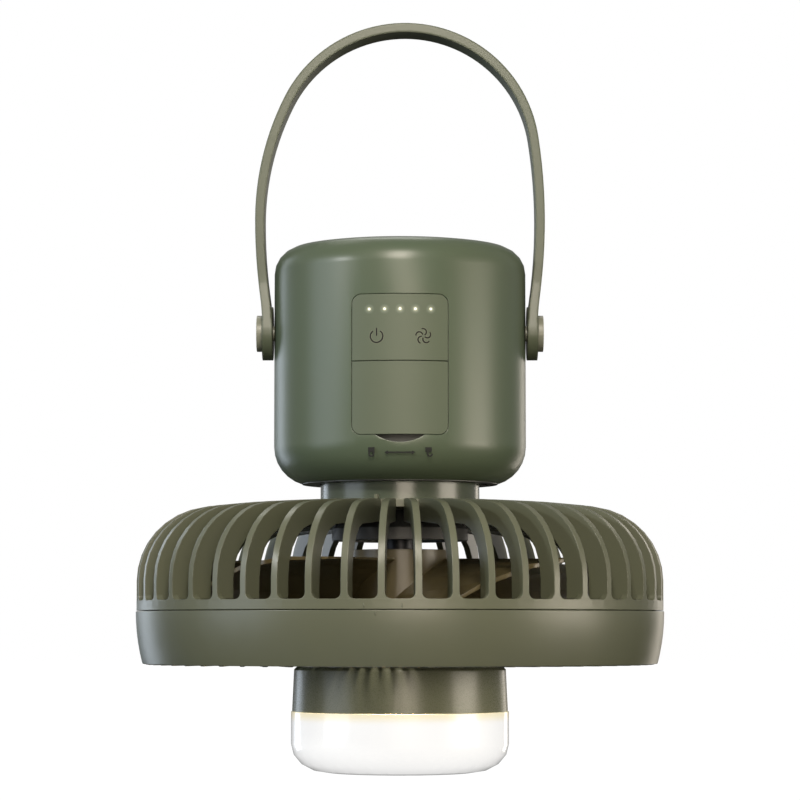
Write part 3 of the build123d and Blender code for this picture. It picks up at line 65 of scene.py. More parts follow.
def linear(hex_colour):
    """The linear RGBA of an sRGB colour such as "#6c7360"."""
    parts = [int(hex_colour[i:i + 2], 16) / 255 for i in (1, 3, 5)]
    return [c / 12.92 if c <= 0.04045 else ((c + 0.055) / 1.055) ** 2.4 for c in parts] + [1.0]


def per_metre(size_mm):
    """The scale that makes a texture repeat every size_mm."""
    return 1000.0 / size_mm


def add_node(tree, kind, sockets=None, links=None, **settings):
    """Add a node with its own settings, then set its sockets and link its inputs."""
    node = tree.nodes.new(kind)
    for key, value in settings.items():
        setattr(node, key, value)
    for key, value in (sockets or {}).items():
        node.inputs[key].default_value = value
    for key, source in (links or {}).items():
        tree.links.new(source, node.inputs[key])
    return node


def new_material(name, colour, roughness, **sockets):
    """A material with one principled shader. Returns it with its node tree and its shader."""
    material = bpy.data.materials.new(name)
    material.use_nodes = True
    tree = material.node_tree
    shader = tree.nodes["Principled BSDF"]
    shader.inputs["Base Color"].default_value = linear(colour)
    shader.inputs["Roughness"].default_value = roughness
    for key, value in sockets.items():
        shader.inputs[key.replace("_", " ")].default_value = value
    return material, tree, shader


print("olive in linear light:", [round(c, 3) for c in linear("#6c7360")])

# %% [markdown]
# ## Moulded plastic
#
# A moulded part copies the skin of its steel mould. The mould of a satin part is spark eroded, which
# leaves a fine even grain that spreads a highlight, and a polished mould gives a glossy part. The
# colour also drifts very slightly, because the pigment and the wall's thickness aren't even. Two
# noises say all this: one of a few centimetres for the drift, and one of the grain's size for the
# bump and the roughness. The real grain is about 0.03 mm, too fine to show, so it's drawn coarser.
# Where a piece is too slender for a modelled round, a bevel node shades its corners as if they had one.

# %% A function for a moulded plastic
grain_spread = 0.05  # how far the grain moves the roughness up and down
corner_samples = 6  # rays that a shaded corner feels its neighbours with


def moulded(name, colour, shade, roughness, grain_mm, grain_depth_mm, drift_mm=35.0, corner_mm=0.0):
    """A plastic whose colour drifts to shade, with its corners rounded by corner_mm in the shading."""
    material, tree, shader = new_material(name, colour, roughness)
    place = add_node(tree, "ShaderNodeTexCoord")
    drift = add_node(tree, "ShaderNodeTexNoise", {"Scale": per_metre(drift_mm), "Detail": 3.0},
                     {"Vector": place.outputs["Object"]})
    tint = add_node(tree, "ShaderNodeMix", {6: linear(colour), 7: linear(shade)},
                    {0: drift.outputs["Fac"]}, data_type="RGBA")
    grain = add_node(tree, "ShaderNodeTexNoise", {"Scale": per_metre(grain_mm), "Detail": 2.0},
                     {"Vector": place.outputs["Object"]})
    spread = add_node(tree, "ShaderNodeMapRange",
                      {"To Min": roughness - grain_spread, "To Max": roughness + grain_spread},
                      {"Value": grain.outputs["Fac"]})
    bump = add_node(tree, "ShaderNodeBump", {"Strength": 1.0, "Distance": grain_depth_mm * MM},
                    {"Height": grain.outputs["Fac"]})
    if corner_mm:
        corner = add_node(tree, "ShaderNodeBevel", {"Radius": corner_mm * MM},
                          samples=corner_samples)
        tree.links.new(corner.outputs["Normal"], bump.inputs["Normal"])
    tree.links.new(tint.outputs[2], shader.inputs["Base Color"])
    tree.links.new(spread.outputs["Result"], shader.inputs["Roughness"])
    tree.links.new(bump.outputs["Normal"], shader.inputs["Normal"])
    return material


# satin ABS from a spark-eroded mould: soft highlights with a faint sparkle of grain
satin_abs = moulded("satin olive ABS", "#4c5a48", "#505a47", 0.33, 0.35, 0.003)
# the neck's mould is polished, so the neck shows the lamps as bright bands
neck_abs = moulded("polished neck ABS", "#4f5948", "#53594a", 0.22, 0.35, 0.002)
# the cage's ABS comes from another mould, a little browner and rougher
cage_abs = moulded("satin cage ABS", "#585d4f", "#5c5f4b", 0.34, 0.35, 0.003)
# the same plastic on the ribs, whose corners are rounded in the shading
rib_abs = moulded("satin rib ABS", "#5b5f51", "#5f624d", 0.34, 0.35, 0.003, corner_mm=0.4)
# the soft cover's flap and buttons, of an overmoulded elastomer: duller than the shell
cover_tpe = moulded("soft panel TPE", "#4f5a48", "#535c49", 0.50, 0.25, 0.003, corner_mm=0.3)
# the bendy strap of thermoplastic polyurethane: satin, slightly waxy
strap_tpu = moulded("strap TPU", "#4d5543", "#505645", 0.40, 0.25, 0.001, corner_mm=1.2)
# the lantern's housing comes from a finer mould than the cage and is paler, with a soft gloss
housing_abs = moulded("fine olive ABS", "#787c66", "#7c7e65", 0.28, 0.35, 0.001)
# ABS of the blades, browner than the shells
blade_abs = moulded("blade ABS", "#5c5338", "#544c33", 0.30, 0.5, 0.003)
# grey ABS of the inner tray and its lid, the bayonet ring and the motor's mount
inner_abs = moulded("grey frame ABS", "#3a3b3a", "#424342", 0.45, 0.4, 0.005)
# the frame behind the panel is painted nearly black as painted shade, so that the gaps round the flap
# read as dark lines and the notch under the flap as a dark hollow
frame_abs_darkened_as_shade = moulded("frame ABS darkened as painted shade", "#1d201a", "#22251e", 0.50, 0.4, 0.005)
# white nylon of the small connector
nylon = moulded("connector nylon", "#e4e1d4", "#dad6c6", 0.50, 0.4, 0.003)
# black body of the small switches
switch_nylon = moulded("switch nylon", "#202020", "#262626", 0.42, 0.3, 0.003)
# foot ring of styrene rubber: matte, a little dusty
foot_rubber = moulded("foot rubber", "#25261f", "#30312a", 0.78, 0.5, 0.02, drift_mm=8.0)
# moulded nylon of the strap's pins, smoother than the strap
pin_nylon = moulded("pin nylon", "#7d7f72", "#757869", 0.36, 0.4, 0.003)
print("moulded plastics:", [material.name for material in bpy.data.materials])

# %% [markdown]
# ## Metals and plated parts
#
# Turned and ground steel shows fine rings or lines in the direction of the tool, and a zinc or nickel
# plating adds a faint cloudiness. A metal's colour is its reflection, so its base colour is pale where
# it is bare and dark under a black finish, its metallic is 1 and its IOR stays at the default. Noise
# that is stretched along one direction gives the tool's lines, and it goes into the colour, the
# roughness and a very small bump.

# %% A function for a machined or plated metal
line_stretch = 12.0  # how much longer than wide a tool's line is
turned = (1.0, 1.0, line_stretch)  # rings round the axis
drawn = (line_stretch, line_stretch, 1.0)  # lines along the axis
tool_spread = 0.10  # how far the lines move the roughness up and down


def machined(name, colour, shade, roughness, line_mm, line_depth_mm, stretch=turned):
    """A metal whose tool lines are line_mm apart and run along the axes with a low stretch."""
    material, tree, shader = new_material(name, colour, roughness, Metallic=1.0)
    place = add_node(tree, "ShaderNodeTexCoord")
    longer = add_node(tree, "ShaderNodeMapping", {"Scale": stretch},
                      {"Vector": place.outputs["Object"]})
    lines = add_node(tree, "ShaderNodeTexNoise",
                     {"Scale": per_metre(line_mm * line_stretch), "Detail": 4.0},
                     {"Vector": longer.outputs["Vector"]})
    tint = add_node(tree, "ShaderNodeMix", {6: linear(colour), 7: linear(shade)},
                    {0: lines.outputs["Fac"]}, data_type="RGBA")
    spread = add_node(tree, "ShaderNodeMapRange",
                      {"To Min": roughness - tool_spread, "To Max": roughness + tool_spread},
                      {"Value": lines.outputs["Fac"]})
    bump = add_node(tree, "ShaderNodeBump", {"Strength": 0.6, "Distance": line_depth_mm * MM},
                    {"Height": lines.outputs["Fac"]})
    tree.links.new(tint.outputs[2], shader.inputs["Base Color"])
    tree.links.new(spread.outputs["Result"], shader.inputs["Roughness"])
    tree.links.new(bump.outputs["Normal"], shader.inputs["Normal"])
    return material


# screws with black zinc plating: dark, with a cool sheen
black_zinc = machined("black zinc plated screw steel", "#4a4b50", "#3c3d40", 0.34, 0.3, 0.004)
# the ground shaft, the tube inside it and the blades' nut: bright rings round the axis
ground_steel = machined("ground shaft steel", "#c4c5c8", "#a9aaae", 0.20, 0.15, 0.002)
# hardened and ground bearing rings
bearing_steel = machined("bearing steel", "#d2d3d6", "#bcbdc1", 0.16, 0.12, 0.002)
# phosphated spring steel of the retaining ring: dark and dull
spring_steel = machined("phosphated spring steel", "#5b5c5e", "#4c4d4f", 0.45, 0.3, 0.003)
# deep drawn and zinc plated can of the rotor: vertical draw marks
drawn_steel = machined("zinc plated can steel", "#b4b7bb", "#9da0a6", 0.28, 0.4, 0.004, drawn)
# tin plated shells of the sockets
tinned_steel = machined("tin plated socket steel", "#c2c3c4", "#a8a9ab", 0.26, 0.3, 0.002)
# turned aluminium of the bearing sleeve, anodised black so that it doesn't shine behind the blades
black_anodised = machined("black anodised aluminium", "#3a3a3c", "#2c2c2e", 0.38, 0.2, 0.003)
# gold plated contact pins
gold_plate = machined("gold plated contact brass", "#e2bd6a", "#cfa654", 0.20, 0.2, 0.002)
# nickel of the strips and of the magnets' plating
nickel = machined("nickel plating", "#c9c6bd", "#b3b0a6", 0.22, 0.4, 0.002)
metals = [black_zinc, ground_steel, bearing_steel, spring_steel, drawn_steel, tinned_steel,
          black_anodised, gold_plate, nickel]
print("metals:", [metal.name for metal in metals])

# %% [markdown]
# ## Layers, wire and boards
#
# Three finishes of the inside have a pattern of their own. The motor's stator is a pile of punched
# steel sheets, which a wave along the axis shows as layers. Its coils are enamelled copper wire, wound
# round each pole, so their waves also run along the axis. Both are drawn about six times as coarse as
# they are, so that they show. A circuit board is glass fibre under green or white solder mask. Its
# copper tracks show through as slightly lighter lines, which the mortar of a brick texture draws.

# %% Stator sheets, windings and boards
wave_rate = 20.0  # how many radians a wave texture runs through in one unit of its scale
brick_rows = 4  # rows of bricks in one unit of a brick texture's scale
track_height_mm = 0.03


def layered(name, colour, gap, roughness, pitch_mm, depth_mm, metallic):
    """Bands along the fan's axis, one for every 2 pi times pitch_mm, with a dark gap between them."""
    material, tree, shader = new_material(name, colour, roughness, Metallic=metallic)
    place = add_node(tree, "ShaderNodeTexCoord")
    bands = add_node(tree, "ShaderNodeTexWave",
                     {"Scale": per_metre(pitch_mm) / wave_rate, "Distortion": 0.2},
                     {"Vector": place.outputs["Object"]}, bands_direction="Z")
    tint = add_node(tree, "ShaderNodeMix", {6: linear(gap), 7: linear(colour)},
                    {0: bands.outputs["Fac"]}, data_type="RGBA")
    bump = add_node(tree, "ShaderNodeBump", {"Strength": 1.0, "Distance": depth_mm * MM},
                    {"Height": bands.outputs["Fac"]})
    tree.links.new(tint.outputs[2], shader.inputs["Base Color"])
    tree.links.new(bump.outputs["Normal"], shader.inputs["Normal"])
    return material


def board(name, mask, track, roughness, row_mm):
    """Solder mask over long copper tracks that run row_mm apart."""
    material, tree, shader = new_material(name, mask, roughness, IOR=1.55)
    place = add_node(tree, "ShaderNodeTexCoord")
    tracks = add_node(tree, "ShaderNodeTexBrick",
                      {"Color1": linear(mask), "Color2": linear(track), "Mortar": linear(track),
                       "Scale": per_metre(row_mm * brick_rows), "Mortar Size": 0.006,
                       "Brick Width": 1.2},
                      {"Vector": place.outputs["Object"]})
    bump = add_node(tree, "ShaderNodeBump", {"Strength": 0.5, "Distance": track_height_mm * MM},
                    {"Height": tracks.outputs["Fac"]})
    tree.links.new(tracks.outputs["Color"], shader.inputs["Base Color"])
    tree.links.new(bump.outputs["Normal"], shader.inputs["Normal"])
    return material


stator_sheets = layered("silicon steel sheets", "#8d8f93", "#4e5054", 0.42, 0.5, 0.06, 1.0)
copper_wire = layered("enamelled copper wire", "#b86a3a", "#5a2c16", 0.30, 0.45, 0.12, 0.9)
green_board = board("green solder mask on glass fibre", "#1b5a35", "#24683f", 0.30, 1.6)
white_board = board("white solder mask on aluminium", "#e9e8e2", "#dedcd4", 0.35, 1.6)
patterned = [stator_sheets, copper_wire, green_board, white_board]
print("patterned finishes:", [finish.name for finish in patterned])

# %% [markdown]
# ## The battery's wrap and the small lights
#
# A cell is wrapped in heat-shrunk PVC: thin, glossy and slightly wavy. The status lights shine through
# small acrylic rods, brightest on their axis. The light that leaks sideways into the soft cover round
# them is a painted glow on the cover. The lights stand in a row, so the distance to the nearest one
# comes from wrapping the sideways coordinate at their pitch. An LED shows the yellow of its phosphor
# and glows warm white.

# %% PVC wrap, acrylic light rods and LED phosphor
pvc_wrap = moulded("heat-shrunk PVC wrap", "#2a6f9c", "#27658f", 0.22, 6.0, 0.05)
lights_low, lights_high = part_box("indicator_lights")
light_radius = (lights_high.z - lights_low.z) / 2
light_gaps = 4  # five lights in a row
light_pitch = (lights_high.x - lights_low.x - 2 * light_radius) / light_gaps
row_half = (light_gaps / 2 + 0.4) * light_pitch  # the glow ends a little past the last light


def glow_near_lights(material, colour, strength, from_radius, to_radius):
    """Make a material glow near the row of lights, fading out between two radii."""
    tree = material.node_tree
    shader = tree.nodes["Principled BSDF"]
    place = add_node(tree, "ShaderNodeTexCoord")
    parts = add_node(tree, "ShaderNodeSeparateXYZ", None, {"Vector": place.outputs["Object"]})
    across = add_node(tree, "ShaderNodeMath", {1: light_pitch / 2, 2: -light_pitch / 2},
                      {0: parts.outputs["X"]}, operation="WRAP")
    up = add_node(tree, "ShaderNodeMath", {1: (lights_low.z + lights_high.z) / 2},
                  {0: parts.outputs["Z"]}, operation="SUBTRACT")
    offset = add_node(tree, "ShaderNodeCombineXYZ", None, {"X": across.outputs[0], "Z": up.outputs[0]})
    away = add_node(tree, "ShaderNodeVectorMath", None, {0: offset.outputs["Vector"]},
                    operation="LENGTH")
    fade = add_node(tree, "ShaderNodeMapRange",
                    {"From Min": from_radius, "From Max": to_radius, "To Min": strength, "To Max": 0.0},
                    {"Value": away.outputs["Value"]}, interpolation_type="SMOOTHERSTEP")
    sideways = add_node(tree, "ShaderNodeMath", None, {0: parts.outputs["X"]}, operation="ABSOLUTE")
    inside = add_node(tree, "ShaderNodeMath", {1: row_half}, {0: sideways.outputs[0]},
                      operation="LESS_THAN")
    level = add_node(tree, "ShaderNodeMath", None, {0: fade.outputs["Result"], 1: inside.outputs[0]},
                     operation="MULTIPLY")
    shader.inputs["Emission Color"].default_value = linear(colour)
    tree.links.new(level.outputs[0], shader.inputs["Emission Strength"])


acrylic_light, _, _ = new_material("lit acrylic rod", "#8f947c", 0.30, IOR=1.49)
glow_near_lights(acrylic_light, "#fdfff4", 1.3, 0.15 * light_radius, 0.75 * light_radius)
# the soft cover round the lights gets a faint painted glow, standing in for the light that leaks from
# them
tpe_with_painted_glow = moulded("soft panel TPE with a painted glow round the lights", "#4f5a48", "#535c49", 0.50, 0.25, 0.003,
                  corner_mm=0.3)
glow_near_lights(tpe_with_painted_glow, "#d6dfcc", 0.12, 0.8 * light_radius, 2.2 * light_radius)
phosphor, _, _ = new_material("LED phosphor", "#f0d060", 0.40,
                              Emission_Color=linear("#ffe2ac"), Emission_Strength=3.0)
print("lights are", round(light_pitch / MM, 2), "mm apart and",
      round(2 * light_radius / MM, 2), "mm wide")

# %% [markdown]
# ## The diffuser
#
# The lantern's bowl is milky polycarbonate. Light bounces inside it, so it glows evenly, white at the
# middle and creamier in the rim where it enters the housing and the plastic is thickest. A gradient
# up the bowl gives that rim. A clear gloss over it mirrors the dimmer room at a low angle, which
# leaves a fine grey line round the bowl, so that its form shows in front of white.

# %% Milky polycarbonate
bowl_low, bowl_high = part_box("lantern_diffuser")
rim_start_mm, rim_end_mm = 4.5, 0.3  # the creamy rim, measured down from the bowl's upper edge
milky_pc, tree, shader = new_material("milky polycarbonate", "#8e8e8a", 0.45, IOR=1.58,
                                      Coat_Weight=1.0, Coat_Roughness=0.12, Coat_IOR=1.6)
place = add_node(tree, "ShaderNodeTexCoord")
height = add_node(tree, "ShaderNodeSeparateXYZ", None, {"Vector": place.outputs["Object"]})
rim = add_node(tree, "ShaderNodeMapRange",
               {"From Min": bowl_high.z - rim_start_mm * MM, "From Max": bowl_high.z - rim_end_mm * MM},
               {"Value": height.outputs["Z"]}, interpolation_type="SMOOTHSTEP")
glow = add_node(tree, "ShaderNodeMix", {6: linear("#ffffff"), 7: linear("#fbefcb")},
                {0: rim.outputs["Result"]}, data_type="RGBA")
tree.links.new(glow.outputs[2], shader.inputs["Emission Color"])
shader.inputs["Emission Strength"].default_value = 0.88
nodes["lantern_diffuser"].visible_shadow = False  # the lamp inside it shines through
print("the bowl glows from z", round(bowl_low.z / MM, 1), "to", round(bowl_high.z / MM, 1), "mm")

# %% [markdown]
# ## Give every solid its finish
#
# Each CAD solid keeps its mesh and only changes its material. A table from finish to solids is easier
# to check than fifty assignments, and a count at the end shows that none was missed.

# %% Assign the finishes
finishes = {
    satin_abs: ["base_shell", "base_end_plate"],
    neck_abs: ["neck_collar"],
    rib_abs: ["rear_guard"],
    cage_abs: ["front_guard"],
    tpe_with_painted_glow: ["control_panel"],
    cover_tpe: ["port_flap", "power_button", "fan_button"],
    strap_tpu: ["handle_strap"],
    pin_nylon: ["handle_pins"],
    housing_abs: ["lantern_housing"],
    milky_pc: ["lantern_diffuser"],
    blade_abs: ["impeller"],
    inner_abs: ["battery_tray", "battery_lid", "bayonet_ring", "motor_mount"],
    frame_abs_darkened_as_shade: ["panel_frame"],
    nylon: ["lantern_socket"],
    switch_nylon: ["tact_switches"],
    foot_rubber: ["foot_ring"],
    black_zinc: ["bayonet_screws", "board_screws", "end_screws", "lantern_screws", "led_board_screws",
                 "mount_screws", "neck_screws", "port_board_screws", "tray_screws"],
    ground_steel: ["rotor_shaft", "lamp_tube", "impeller_nut"],
    bearing_steel: ["bearings"],
    spring_steel: ["retaining_ring"],
    drawn_steel: ["rotor_can"],
    tinned_steel: ["usb_a_socket", "usb_c_socket"],
    black_anodised: ["bearing_sleeve"],
    gold_plate: ["contact_pins"],
    nickel: ["battery_strips", "rotor_magnets"],
    stator_sheets: ["motor_stator"],
    copper_wire: ["motor_windings"],
    green_board: ["control_board", "port_board", "motor_board", "contact_plate"],
    white_board: ["led_board"],
    pvc_wrap: ["battery_cells"],
    acrylic_light: ["indicator_lights"],
    phosphor: ["indicator_leds", "led_chips"],
}
for material, names in finishes.items():
    for name in names:
        nodes[name].data.materials.clear()
        nodes[name].data.materials.append(material)
dressed = [name for names in finishes.values() for name in names]
print(len(dressed), "solids have a finish, and none is left:", set(nodes) == set(dressed))

# %% [markdown]
# ## Eased edges
#
# No moulded edge is sharp: the mould itself has a small radius, and that radius catches the light as a
# thin bright line. CAD meshes arrive as loose triangles per face, so a few modifiers do the work. A
# weld joins the faces, a decimation turns the triangles of a flat back into one face, a bevel rounds
# every corner that is sharper than a limit, and an edge split with weighted normals keeps flats flat
# and rounds round. The rear guard's ribs, the strap's feet and the thin soft cover are too slender for
# a modelled bevel, so their corners are rounded in the shading instead, by the bevel node of their
# materials.

# %% A function for eased edges
weld_mm = 0.002  # corners closer than this are one
flat_angle = 0.4  # faces that lean less than this, in degrees, are one flat
kept_angle = 36.0  # corners sharper than this, in degrees, stay sharp in the shading
rounded_angle = 30.0  # corners sharper than this, in degrees, are rounded
bevel_steps = 2
evenness = 70  # how much the larger faces pull the shading


def ease(radius_mm, names, join_flats=True):
    """Round the corners of the named solids by radius_mm, or only shade them evenly if that is 0."""
    for name in names:
        piece = nodes[name]
        mesh = piece.data
        for layer in ("custom_normal", "sharp_edge"):
            if layer in mesh.attributes:
                mesh.attributes.remove(mesh.attributes[layer])
        mesh.shade_smooth()
        weld = piece.modifiers.new("joined faces", "WELD")
        weld.merge_threshold = weld_mm * MM
        if radius_mm and join_flats:
            flats = piece.modifiers.new("joined flats", "DECIMATE")
            flats.decimate_type = "DISSOLVE"
            flats.angle_limit = radians(flat_angle)
        if radius_mm:
            bevel = piece.modifiers.new("eased edges", "BEVEL")
            bevel.width = radius_mm * MM
            bevel.segments = bevel_steps
            bevel.limit_method = "ANGLE"
            bevel.angle_limit = radians(rounded_angle)
            bevel.use_clamp_overlap = False
        split = piece.modifiers.new("kept corners", "EDGE_SPLIT")
        split.split_angle = radians(kept_angle)
        even = piece.modifiers.new("even shading", "WEIGHTED_NORMAL")
        even.keep_sharp = True
        even.weight = evenness


ease(0.30, ["base_shell", "neck_collar", "lantern_housing"])
ease(0.30, ["front_guard"], join_flats=False)
ease(0.18, ["handle_pins", "foot_ring", "base_end_plate", "motor_mount"])
ease(0.25, ["impeller"])
rest = [name for name in nodes if not nodes[name].modifiers]
ease(0.0, rest)
print(len(rest), "solids are only shaded;", len(nodes) - len(rest), "have rounded edges")

# %% [markdown]
# ## Signs on the round wall
#
# The signs of the buttons are pressed into the soft cover and inked, which leaves a dark line. The
# light on the pressed line's lip is a painted highlight, a pale ribbon round the ink. Each is drawn
# flat, in millimetres across and up, and then laid onto the round wall. A stroke is a ribbon along a
# line of points, slightly proud in its middle, and the lip's painted highlight is a wider ribbon under
# it. The power sign and the fan sign ride on their own buttons.

# %% Draw strokes on the wall
wall_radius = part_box("base_shell")[1].x
ink_width_mm, lip_extra_mm = 0.82, 0.25  # the lip is that much wider than the ink
ink_lift_mm, lip_lift_mm, edge_sink_mm = 0.04, 0.02, 0.01
sign_ink = moulded("sign ink", "#10120c", "#0d0f0a", 0.80, 0.3, 0.002)
# the pale lip is a painted highlight: the light on the edge of the pressed line, painted in
lip_painted_highlight = moulded("painted highlight on a pressed sign's lip", "#6f7560", "#6a705b", 0.45, 0.3, 0.002)


def on_wall(x_mm, z_mm, lift_mm):
    """The point of the base's wall at x_mm across and z_mm up, lift_mm out of its surface."""
    radius = wall_radius + lift_mm * MM
    return Vector((x_mm * MM, -sqrt(radius ** 2 - (x_mm * MM) ** 2), z_mm * MM))


def new_piece(name, verts, faces, material, body, as_wall=False):
    """A smooth mesh piece that faces outwards and rides on a body. It can be shaded like the wall."""
    mesh = bpy.data.meshes.new(name)
    mesh.from_pydata(verts, [], faces)
    mesh.update()
    outward = sum(face.area * face.normal.dot(Vector((face.center.x, face.center.y, 0.0)))
                  for face in mesh.polygons)
    if outward < 0.0:
        mesh.flip_normals()
    mesh.shade_smooth()
    if as_wall:
        outwards = [Vector((vert.x, vert.y, 0.0)).normalized() for vert in verts]
        mesh.normals_split_custom_set_from_vertices(outwards)
    mesh.materials.append(material)
    piece = bpy.data.objects.new(name, mesh)
    bpy.context.scene.collection.objects.link(piece)
    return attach(piece, body)


def stroke_mesh(points, width_mm, lift_mm):
    """Vertices and faces of a ribbon along points (x, z) in mm, highest at its middle."""
    verts, faces = [], []
    last = len(points) - 1
    profile = ((-0.5, -edge_sink_mm), (-0.3, lift_mm), (0.3, lift_mm), (0.5, -edge_sink_mm))
    for i, (x, z) in enumerate(points):
        before = points[max(i - 1, 0)]
        after = points[min(i + 1, last)]
        run = hypot(after[0] - before[0], after[1] - before[1])
        across = (-(after[1] - before[1]) / run, (after[0] - before[0]) / run)
        verts += [on_wall(x + across[0] * width_mm * share, z + across[1] * width_mm * share, lift)
                  for share, lift in profile]
    row = len(profile)
    for start in range(0, last * row, row):
        faces += [(start + k, start + row + k, start + row + k + 1, start + k + 1)
                  for k in range(row - 1)]
    return verts, faces


def draw_sign(name, strokes, body, width_mm, lift_mm=ink_lift_mm, material=sign_ink):
    """One piece from several strokes, each a list of points."""
    verts, faces = [], []
    for points in strokes:
        more, sides = stroke_mesh(points, width_mm, lift_mm)
        faces += [tuple(len(verts) + i for i in side) for side in sides]
        verts += more
    return new_piece(name, verts, faces, material, body)


def press_sign(name, strokes, body):
    """A sign with a painted highlight on its lip, as two pieces on the same body."""
    draw_sign(name + "_lip", strokes, body, ink_width_mm + lip_extra_mm, lip_lift_mm, lip_painted_highlight)
    draw_sign(name, strokes, body, ink_width_mm)


def arc(cx, cz, radius, start, stop, steps):
    """Points of an arc in degrees, counted from +X towards +Z."""
    return [(cx + radius * cos(radians(start + (stop - start) * i / steps)),
             cz + radius * sin(radians(start + (stop - start) * i / steps)))
            for i in range(steps + 1)]


print("the wall's radius is", round(wall_radius / MM, 2), "mm")

# %% The power sign and the fan sign
button_low, button_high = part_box("power_button")
power_x = (button_low.x + button_high.x) / 2 / MM
fan_x = -power_x
sign_z = (button_low.z + button_high.z) / 2 / MM
power_ring = arc(power_x, sign_z, 2.35, 125, 415, 36)
power_bar = [(power_x, sign_z + up_mm) for up_mm in (0.1, 1.2, 3.1)]
press_sign("power_sign", [power_ring, power_bar], "power_button")


def vane(cx, cz, turn):
    """One vane of the fan sign: it leaves the centre and bends round like a hook."""
    steps, inner, outer, first, sweep, hook = 8, 0.6, 2.9, -50.0, 64.0, 1.6
    points = []
    for i in range(steps + 1):
        share = i / steps
        radius = inner + (outer - inner) * sin(pi / 2 * share)
        angle = radians(turn + first + sweep * share ** hook)
        points.append((cx + radius * cos(angle), cz + radius * sin(angle)))
    return points


vane_count = 5
vanes = [vane(fan_x, sign_z, 90 + 360 / vane_count * i) for i in range(vane_count)]
press_sign("fan_sign", vanes, "fan_button")
print("signs are centred at x", round(power_x, 2), "and", round(fan_x, 2), "mm, z",
      round(sign_z, 1), "mm")

# %% [markdown]
# ## The webs of the buttons
#
# On the real cover a button isn't a loose disc: the soft cover runs on round it as a thin web that
# bends when a finger presses. Each web is a very flat ring over the gap round its button, in the same
# elastomer, and it stays with the base while the button travels under it.

# %% A web round each button
def button_web(name, x_mm, inner_mm, outer_mm):
    """A flat ring on the wall round (x_mm, sign_z), sunk at both of its edges."""
    sides = 72
    lift_mm, sink_mm, slope_mm = 0.012, 0.02, 0.1
    rings = ((inner_mm, -sink_mm), (inner_mm + slope_mm, lift_mm),
             (outer_mm - slope_mm, lift_mm), (outer_mm, -sink_mm))
    turns = [2 * pi * i / sides for i in range(sides)]
    verts = [on_wall(x_mm + radius * cos(turn), sign_z + radius * sin(turn), lift)
             for radius, lift in rings for turn in turns]
    faces = [(ring * sides + i, ring * sides + (i + 1) % sides,
              (ring + 1) * sides + (i + 1) % sides, (ring + 1) * sides + i)
             for ring in range(len(rings) - 1) for i in range(sides)]
    return new_piece(name, verts, faces, tpe_with_painted_glow, "base", as_wall=True)


button_radius = (button_high.x - button_low.x) / 2 / MM
web_inside_mm, web_outside_mm = 0.45, 0.55  # how far the web reaches to either side of the gap
for name, x_mm in (("power_web", power_x), ("fan_web", fan_x)):
    button_web(name, x_mm, button_radius - web_inside_mm, button_radius + web_outside_mm)
print("webs cover the gap at radius", round(button_radius, 2), "mm")

# %% [markdown]
# ## The twist-lock signs
#
# Below the flap, a closed and an open padlock show where the index bump on the cage points when the
# head is locked or free, with a double arrow between them. They are inked without a lip and upside
# down, because they are read with the fan standing on its base. The open one has its bow swung to
# the side.

# %% Padlocks and the double arrow
lock_joint = next(j for j in frame["joints"] if j["name"] == "head_twist")
lock_turn = lock_joint["range_deg"][1] / 2
lock_x = wall_radius * sin(radians(lock_turn)) / MM
lock_z = 121.3
lock_line_mm = 0.56
arrow_half_mm = 5.8


def padlock(cx, cz, swing):
    """The strokes of a small padlock, with its body above its bow; swing moves the bow sideways."""
    half, rows, first_row, row_step = 1.2, 4, 0.45, 0.4
    bow_radius, foot, bend, bow_drop = 0.8, 0.4, 0.5, 0.6
    levels = [cz + first_row + row_step * i for i in range(rows)]
    body = [[(cx - half, z), (cx, z), (cx + half, z)] for z in levels]
    left, right = cx - bow_radius + swing, cx + bow_radius + swing
    bow = [(left, cz + foot), (left, cz - bend)]
    bow += arc(cx + swing, cz - bow_drop, bow_radius, 190, 350, 12)
    bow += [(right, cz - bend)]
    if not swing:
        bow += [(right, cz + foot)]
    return body + [bow]


def double_arrow(cz, half):
    """The strokes of a double arrow that reaches half to either side. Each head is a few lines."""
    head, head_lines, head_step, line_half, taper = 1.1, 4, 0.28, 0.55, 0.15
    shaft_end, shaft_steps = half - 0.8, 12
    shaft = [(2 * shaft_end * i / shaft_steps - shaft_end, cz) for i in range(shaft_steps + 1)]
    strokes = [shaft]
    for side in (-1, 1):
        for i in range(head_lines):
            x = side * (half - head + head_step * i)
            reach = line_half - taper * i
            strokes.append([(x, cz - reach), (x, cz), (x, cz + reach)])
    return strokes


closed_lock = padlock(-lock_x, lock_z, 0.0)
open_lock = padlock(lock_x, lock_z, 0.5)
arrow = double_arrow(lock_z, arrow_half_mm)
draw_sign("lock_signs", closed_lock + open_lock + arrow, "base", lock_line_mm)
print("padlocks at x", round(-lock_x, 1), "and", round(lock_x, 1), "mm")

# %% [markdown]
# ## Marks at the cage's seam
#
# Small raised ticks on either side of the seam show how far the front guard is turned: at the end of
# its twist, the one on the ring meets the right one on the band. Each is a short rounded bump, built
# as a low dome that is stretched along the axis and stands on the wall.

